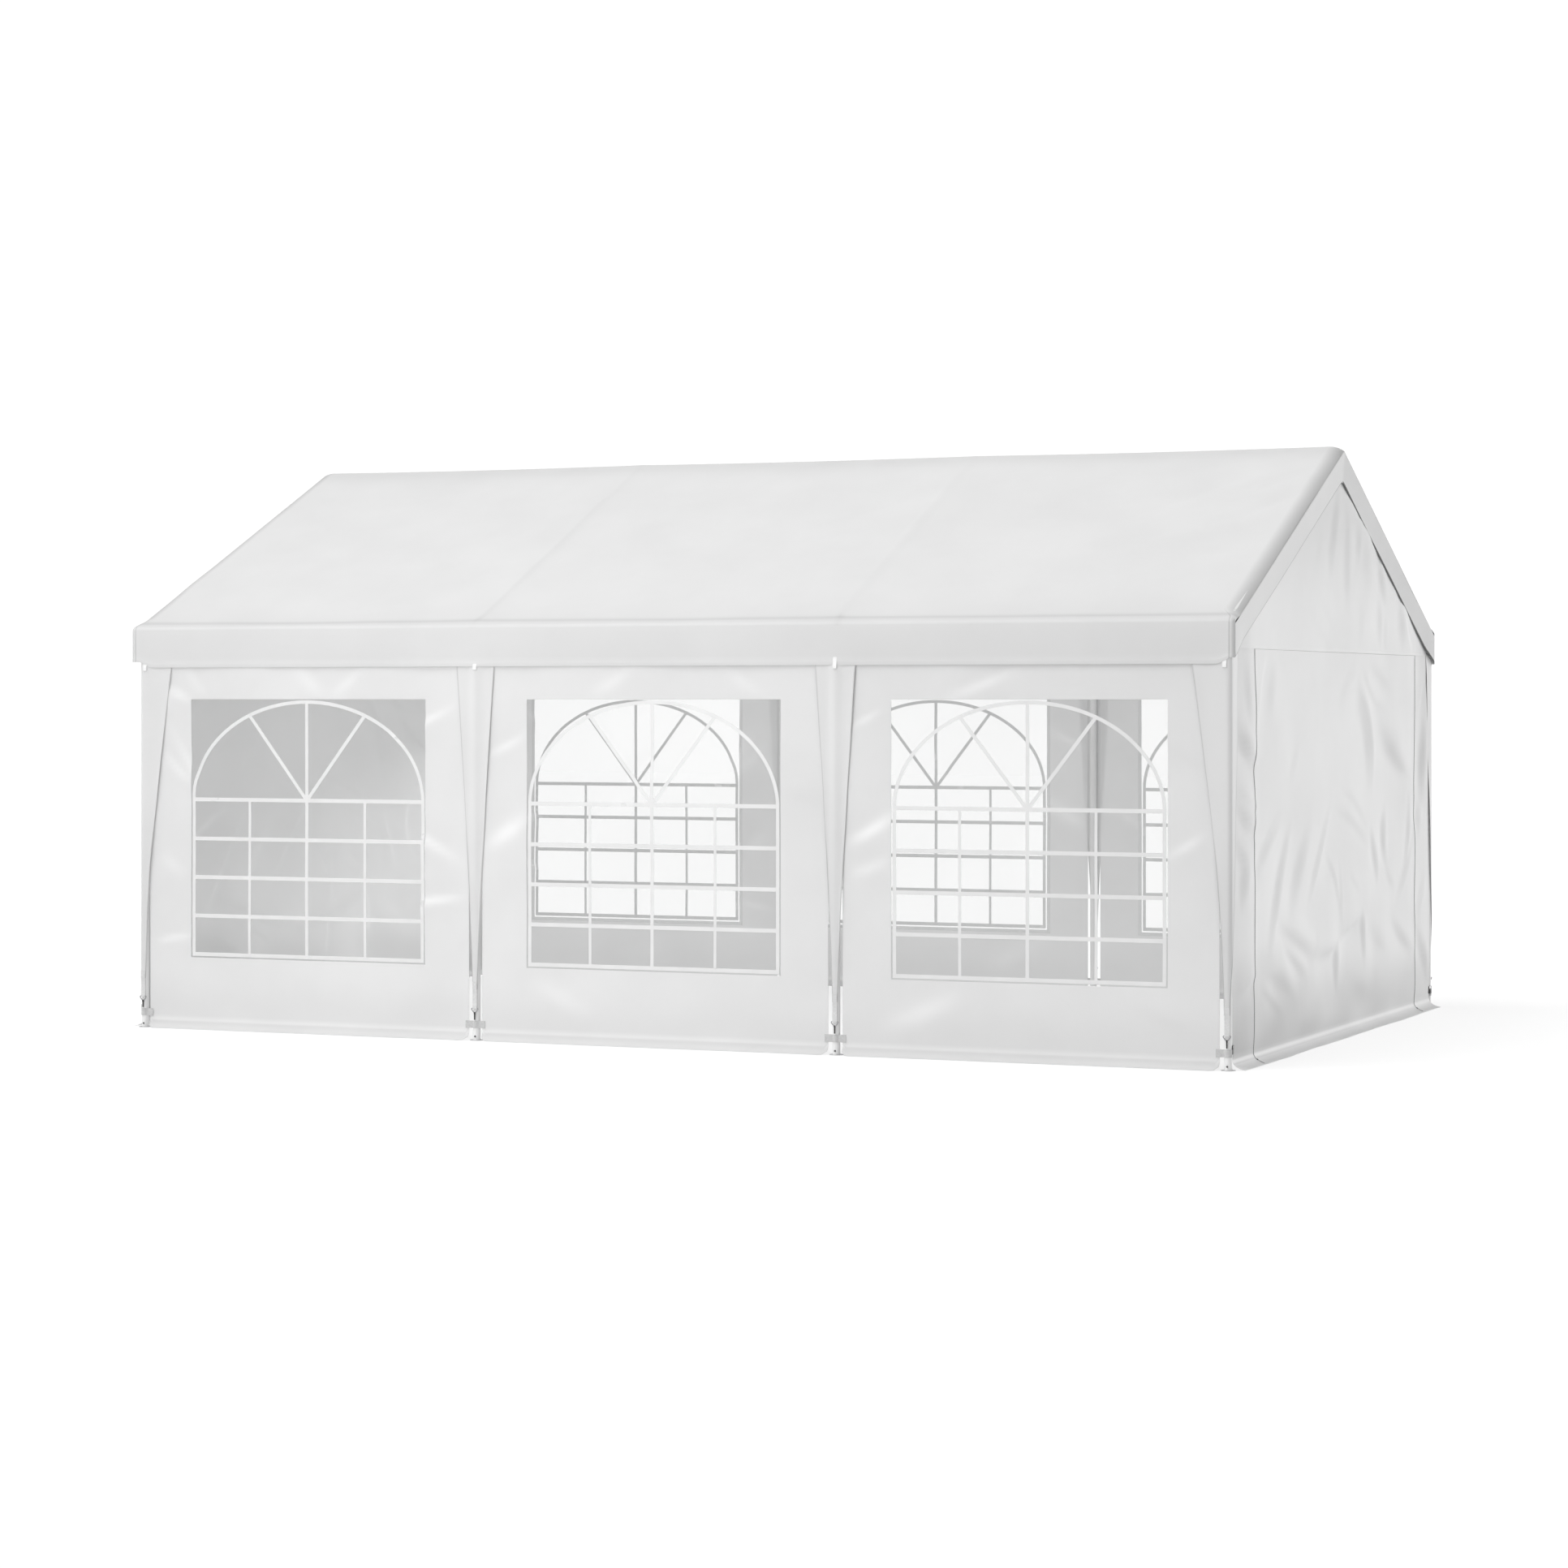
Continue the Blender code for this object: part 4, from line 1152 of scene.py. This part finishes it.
def make_middle_leg(side, number, seed):
    """The cover of a middle post: a tapered sheet that bulges over the post as a bell curve."""
    post = post_across(side, number)
    up = ruled(LEG_BOTTOM, VALANCE_BOTTOM + 0.04, 0.028)[:, None]
    share = ruled(-1, 1, 0.085)[None, :]
    half = leg_half(up, LEG_TOP_MIDDLE) + 0.0015 * waves(up, 0, seed, 0.35)
    offset = share * half
    bulge = (LEG_OUT - LEG_WING_OUT) * bell(offset, 0.030)
    out = LEG_WING_OUT + bulge + leg_wing(up, share, seed + 1, 2) + leg_hem(share, half)
    points = placed(side, post + offset, up, out)
    finish_leg(side, number, points, post + offset, up, leg_grey(up, share, half))


def make_corner_leg(side, number, seed):
    """The cover of a corner post: a tapered sheet folded round the post's quarter circle.

    Along its width it runs straight along the long wall, round the post, and straight along
    the gable. Lower down its middle shifts to the long side, where its strap hangs.
    """
    post = post_across(side, number)
    end = math.copysign(1, post)
    up = ruled(LEG_BOTTOM, VALANCE_BOTTOM + LEG_TUCK, 0.028)[:, None]
    share = ruled(-1, 1, 0.05)[None, :]
    drift = 0.0015 * waves(up, 0, seed, 0.35)
    half = np.where(share < 0, leg_half(up, LEG_TOP_LONG), leg_half(up, LEG_TOP_GABLE)) + drift
    width = share * half - 0.0175 * smoothstep(0.9, 0.25, up)
    on_gable = width > 0
    along = np.maximum(np.abs(width) - LEG_OUT * np.pi / 4, 0)
    # The turn is 0 where the cover faces the gable and a quarter back where it faces the long side.
    turn = np.clip(width / LEG_OUT, -np.pi / 4, np.pi / 4) - np.pi / 4
    radius = LEG_OUT + leg_wing(up, share, seed + 1, 3) + leg_hem(share, half)
    back = smoothstep(0.0, 0.12, along) * (LEG_OUT - LEG_WING_OUT)
    aside = radius * np.cos(turn) - np.where(on_gable, back, along)
    forward = -radius * np.sin(turn) - np.where(on_gable, along, back)
    tuck = np.where(on_gable, along, 0) * math.tan(SLOPE) * smoothstep(1.2, 1.9, up)
    points = placed(side, post + end * aside, up + tuck, forward)
    grey = leg_grey(up, share, half)
    if end < 0:
        points, grey = points[:, ::-1], grey[:, ::-1]
    finish_leg(side, number, points, width, up, grey)


def make_strap(side, number):
    """The fastenings at the foot of a leg cover: webbing, a three-sided ring, a hook and a bolt.

    Each is a section along a path of listed points, as offsets from the post, heights and
    distances out from its face.
    """
    post = post_across(side, number)
    (way_x, way_y), _ = SIDES[side]
    out_way = np.array([way_x, way_y, 0.0])
    face = TUBE_RADIUS + 0.0006

    def made(name, offsets, ups, outs, section, outwards, finish, scale=None, loop=False):
        path = placed(side, post + np.asarray(offsets), np.asarray(ups), face + np.asarray(outs))
        return add_mesh(f"{name}_{side}_{number}", *swept(path, section, outwards, scale, loop), finish)

    ups = [0.300, 0.290, 0.262, 0.258, 0.22, 0.18, 0.166, 0.162, 0.162, 0.166, 0.20, 0.25]
    outs = [0.0040, 0.0042, 0.0042, 0.0030, 0.0024, 0.0032, 0.0046, 0.0040, 0.0016, 0.0006, 0.0004, 0.0004]
    sharp(made("strap", 0, ups, outs, flat_section(0.025, 0.0011), out_way, WEBBING), 50)

    offsets = [-0.0185, -0.016, 0.0, 0.016, 0.0185, 0.0165, 0.003, 0.0, -0.003, -0.0165]
    ups = [0.1625, 0.1650, 0.1650, 0.1650, 0.1625, 0.157, 0.1395, 0.1380, 0.1395, 0.157]
    thick = [1.3, 1.1, 0.9, 1.1, 1.3, 1.2, 1.0, 1.0, 1.0, 1.2]
    wire = round_section(0.0021, 10)
    made("ring", offsets, ups, 0.0034, wire, out_way, RING_STEEL, thick, loop=True)

    # The hook's eye holds the ring's point, its shank hangs down and its tip ends against the post.
    turn = np.linspace(2.35 * np.pi, 0.5 * np.pi, 14)
    ups = np.concatenate([0.1385 + 0.0046 * np.cos(turn), np.linspace(0.131, 0.113, 6), [0.108, 0.1065]])
    outs = np.concatenate([0.0038 + 0.0044 * np.sin(turn), np.full(6, 0.0052), [0.0044, 0.0028]])
    thick = [1.15] * 14 + [1.25, 1.35, 1.35, 1.3, 1.2, 1.3, 1.3, 0.8]
    along = np.array([way_y, way_x, 0.0])
    made("hook", 0, ups, outs, round_section(0.0026, 12), along, BLACK_PLASTIC, thick)

    outs = TUBE_RADIUS - face + np.array([-0.0010, 0.0018, 0.0030, 0.0034])
    head = round_section(0.0050, 18)
    made("foot_bolt", 0, 0.021, outs, head, (0, 0, 1.0), BOLT_DARK, [1.0, 1.0, 0.8, 0.3])


def make_band(side, number):
    """The grip band that holds the walls to a post: across the gap, round the post and on.

    At a corner it ends on the post's far side.
    """
    post = post_across(side, number)
    corner = at_corner(number)
    reach = np.array([(-0.056, 0.0148), (-0.044, 0.0146), (-0.036, 0.0144), (-0.028, 0.0137)])
    mirror = np.array([-1, 1])
    turn = np.radians(np.linspace(140, -35 if corner else 50, 14))
    round_post = (TUBE_RADIUS + 0.0012) * np.stack([np.cos(turn), np.sin(turn)], axis=1)
    far_end = round_post[-1:] + np.array([0.004, -0.006]) if corner else reach[::-1] * mirror
    line = np.concatenate([reach, round_post, far_end])
    if corner and post < 0:
        line = line[::-1] * mirror
    path = placed(side, post + line[:, 0], BAND_UP, line[:, 1])
    shape = swept_round(path, flat_section(0.037, 0.0014), placed(side, post, BAND_UP, 0.0))
    sharp(add_mesh(f"grip_band_{side}_{number}", *shape, GREY_BAND), 50)


def make_gable_band(side, number):
    """The grip band that holds a gable's wall to its corner post: a short strap across the gap."""
    gable = "left" if number == 1 else "right"
    way = GABLE_WAYS[gable]
    edge = way * SIDES[side][0][1]
    away = np.array([-0.004, 0.004, 0.012, 0.024, 0.036])
    outs = np.array([0.0206, 0.0202, 0.0180, 0.0160, 0.0150])
    path = placed(gable, edge * (POST_Y - away), GABLE_BAND_UP, outs)
    shape = swept(path, flat_section(0.042, 0.0016), (way, 0.0, 0.0))
    add_mesh(f"grip_band_gable_{side}_{number}", *shape, BLACK_PLASTIC)


def swept_round(path, section, middle):
    """A swept bar whose outward direction at each point is square to the path and away from middle."""
    along = unit(np.gradient(path, axis=0))
    outwards = np.stack([along[:, 1], -along[:, 0], np.zeros(len(path))], axis=1)
    facing = np.sign(((path - middle) * outwards).sum(axis=1).mean())
    return swept(path, section, outwards * facing)


def make_tab(side, number):
    """The small webbing loop that hangs from the valance at a post, a little inwards at a corner."""
    post = post_across(side, number)
    inset = -0.012 * math.copysign(1, post) if at_corner(number) else 0.0
    ups = np.array([1.945, 1.925, 1.912, 1.898, 1.8895, 1.8880, 1.8910, 1.902, 1.922])
    outs = np.array([-0.0030, -0.0024, 0.0006, 0.0016, 0.0014, 0.0000, -0.0016, -0.0018, -0.0030])
    path = placed(side, post + inset, ups, COVER_RADIUS + outs)
    shape = swept(path, flat_section(0.020, 0.0010, -0.0005), (*SIDES[side][0], 0.0))
    sharp(add_mesh(f"valance_tab_{side}_{number}", *shape, TAB_WHITE), 50)


# Making the tent

make_roof_cover()
for seed, gable in enumerate(GABLES, start=31):
    make_gable_valance(gable, seed)
    make_gable_wall(gable)
    make_gable_door(gable)
    for zip_name, zip_across in (("near", -DOOR_HALF), ("far", DOOR_HALF)):
        make_zip(gable, zip_across, zip_name)
for side_number, long_side in enumerate(LONG_SIDES):
    for wall_number in range(1, BAYS + 1):
        make_window_wall(long_side, wall_number, 100 + 40 * side_number + 10 * wall_number)
    for post_number in range(1, BAYS + 2):
        leg_seed = 300 + 40 * side_number + 5 * post_number
        make_leg = make_corner_leg if at_corner(post_number) else make_middle_leg
        make_leg(long_side, post_number, leg_seed)
        make_strap(long_side, post_number)
        make_band(long_side, post_number)
        if at_corner(post_number):
            make_gable_band(long_side, post_number)
        make_tab(long_side, post_number)


def refinish(beginning, finish):
    """Gives every frame node whose name starts so its finish."""
    for name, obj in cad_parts.items():
        if name.startswith(beginning):
            for slot in obj.material_slots:
                slot.material = finish


for beginning in ("post_", "rafter_", "eave_rail_", "ridge_rail"):
    refinish(beginning, WHITE_STEEL)
refinish("foot_", PLATE_STEEL)


# The studio
FLOOR_HALF = 60.0


def seen_or_shining(tree, seen, shining):
    """A strength that is one value where the camera looks at a thing and another for its light.

    Each is a number or a socket.
    """
    path = tree.nodes.new("ShaderNodeLightPath")
    inputs = [("Value", path.outputs["Is Camera Ray"]), ("To Min", shining), ("To Max", seen)]
    return node(tree, "ShaderNodeMapRange", inputs).outputs["Result"]


def add_stage():
    """A plain pale floor."""
    mesh = bpy.data.meshes.new("floor")
    corners = [(FLOOR_HALF * x, FLOOR_HALF * y, 0) for x, y in ((-1, -1), (1, -1), (1, 1), (-1, 1))]
    mesh.from_pydata(corners, [], [(0, 1, 2, 3)])
    floor = add_object("floor", mesh)
    paint, tree, shader = new_finish("floor_paint", "floor", tone(0.25), 0.9)
    shader.inputs["Specular IOR Level"].default_value = 0.1
    shader.inputs["Emission Color"].default_value = (1, 1, 1, 1)
    tree.links.new(seen_or_shining(tree, seen=0.73, shining=0.58), shader.inputs["Emission Strength"])
    mesh.materials.append(paint)


def add_sun(name, azimuth, elevation, angle, strength):
    """A broad far light. Its azimuth, in degrees, runs from the front (0) to the right (90)."""
    light = bpy.data.lights.new(name, "SUN")
    light.angle = math.radians(angle)
    light.energy = strength
    lamp = add_object(name, light)
    lamp.rotation_euler = (math.radians(90 - elevation), 0, math.radians(azimuth))


def add_softbox(name, place, target, size, power):
    """A square soft light at a place, facing a target."""
    light = bpy.data.lights.new(name, "AREA")
    light.size = size
    light.energy = power
    lamp = add_object(name, light)
    lamp.location = place
    lamp.rotation_euler = (Vector(target) - Vector(place)).to_track_quat("-Z", "Y").to_euler()
    lamp.visible_camera = False


def add_world(seen, horizon, zenith):
    """An even white surround to the eye, whose light is strongest from the horizon."""
    world = bpy.data.worlds.new("studio")
    world.use_nodes = True
    tree = world.node_tree
    tree.nodes.clear()
    direction = node(tree, "ShaderNodeTexCoord").outputs["Generated"]
    up = node(tree, "ShaderNodeSeparateXYZ", [("Vector", direction)]).outputs["Z"]
    fading = node(tree, "ShaderNodeMapRange", [("Value", up), ("To Min", horizon), ("To Max", zenith)])
    strength = seen_or_shining(tree, seen, fading.outputs["Result"])
    surround = node(tree, "ShaderNodeBackground", [("Color", (1, 1, 1, 1)), ("Strength", strength)])
    output = tree.nodes.new("ShaderNodeOutputWorld")
    tree.links.new(surround.outputs[0], output.inputs["Surface"])
    bpy.context.scene.world = world


def add_camera():
    """The camera at the photograph's viewing angle."""
    lens = bpy.data.cameras.new("camera")
    lens.lens = 85.736
    lens.sensor_width = 36
    lens.shift_y = -0.0551
    lens.clip_end = 200
    camera = add_object("camera", lens)
    camera.location = (7.9548, -18.8564, 1.747)
    camera.rotation_euler = (math.radians(90), 0, math.radians(23.22))
    bpy.context.scene.camera = camera


add_stage()
add_camera()
add_world(seen=1.06, horizon=1.03, zenith=0.0)
add_sun("key_left", azimuth=-50, elevation=62, angle=40, strength=2.29)
add_sun("fill_right", azimuth=150, elevation=22, angle=26, strength=1.9)
add_softbox("softbox_front", place=(-1.3, -6, 2.2), target=(-1.3, -2, 1.2), size=2, power=39)
add_softbox("softbox_inside", place=(0, -1.2, 0.9), target=(0, 2, 1.2), size=1.2, power=9)
bpy.context.scene.view_settings.view_transform = "Standard"
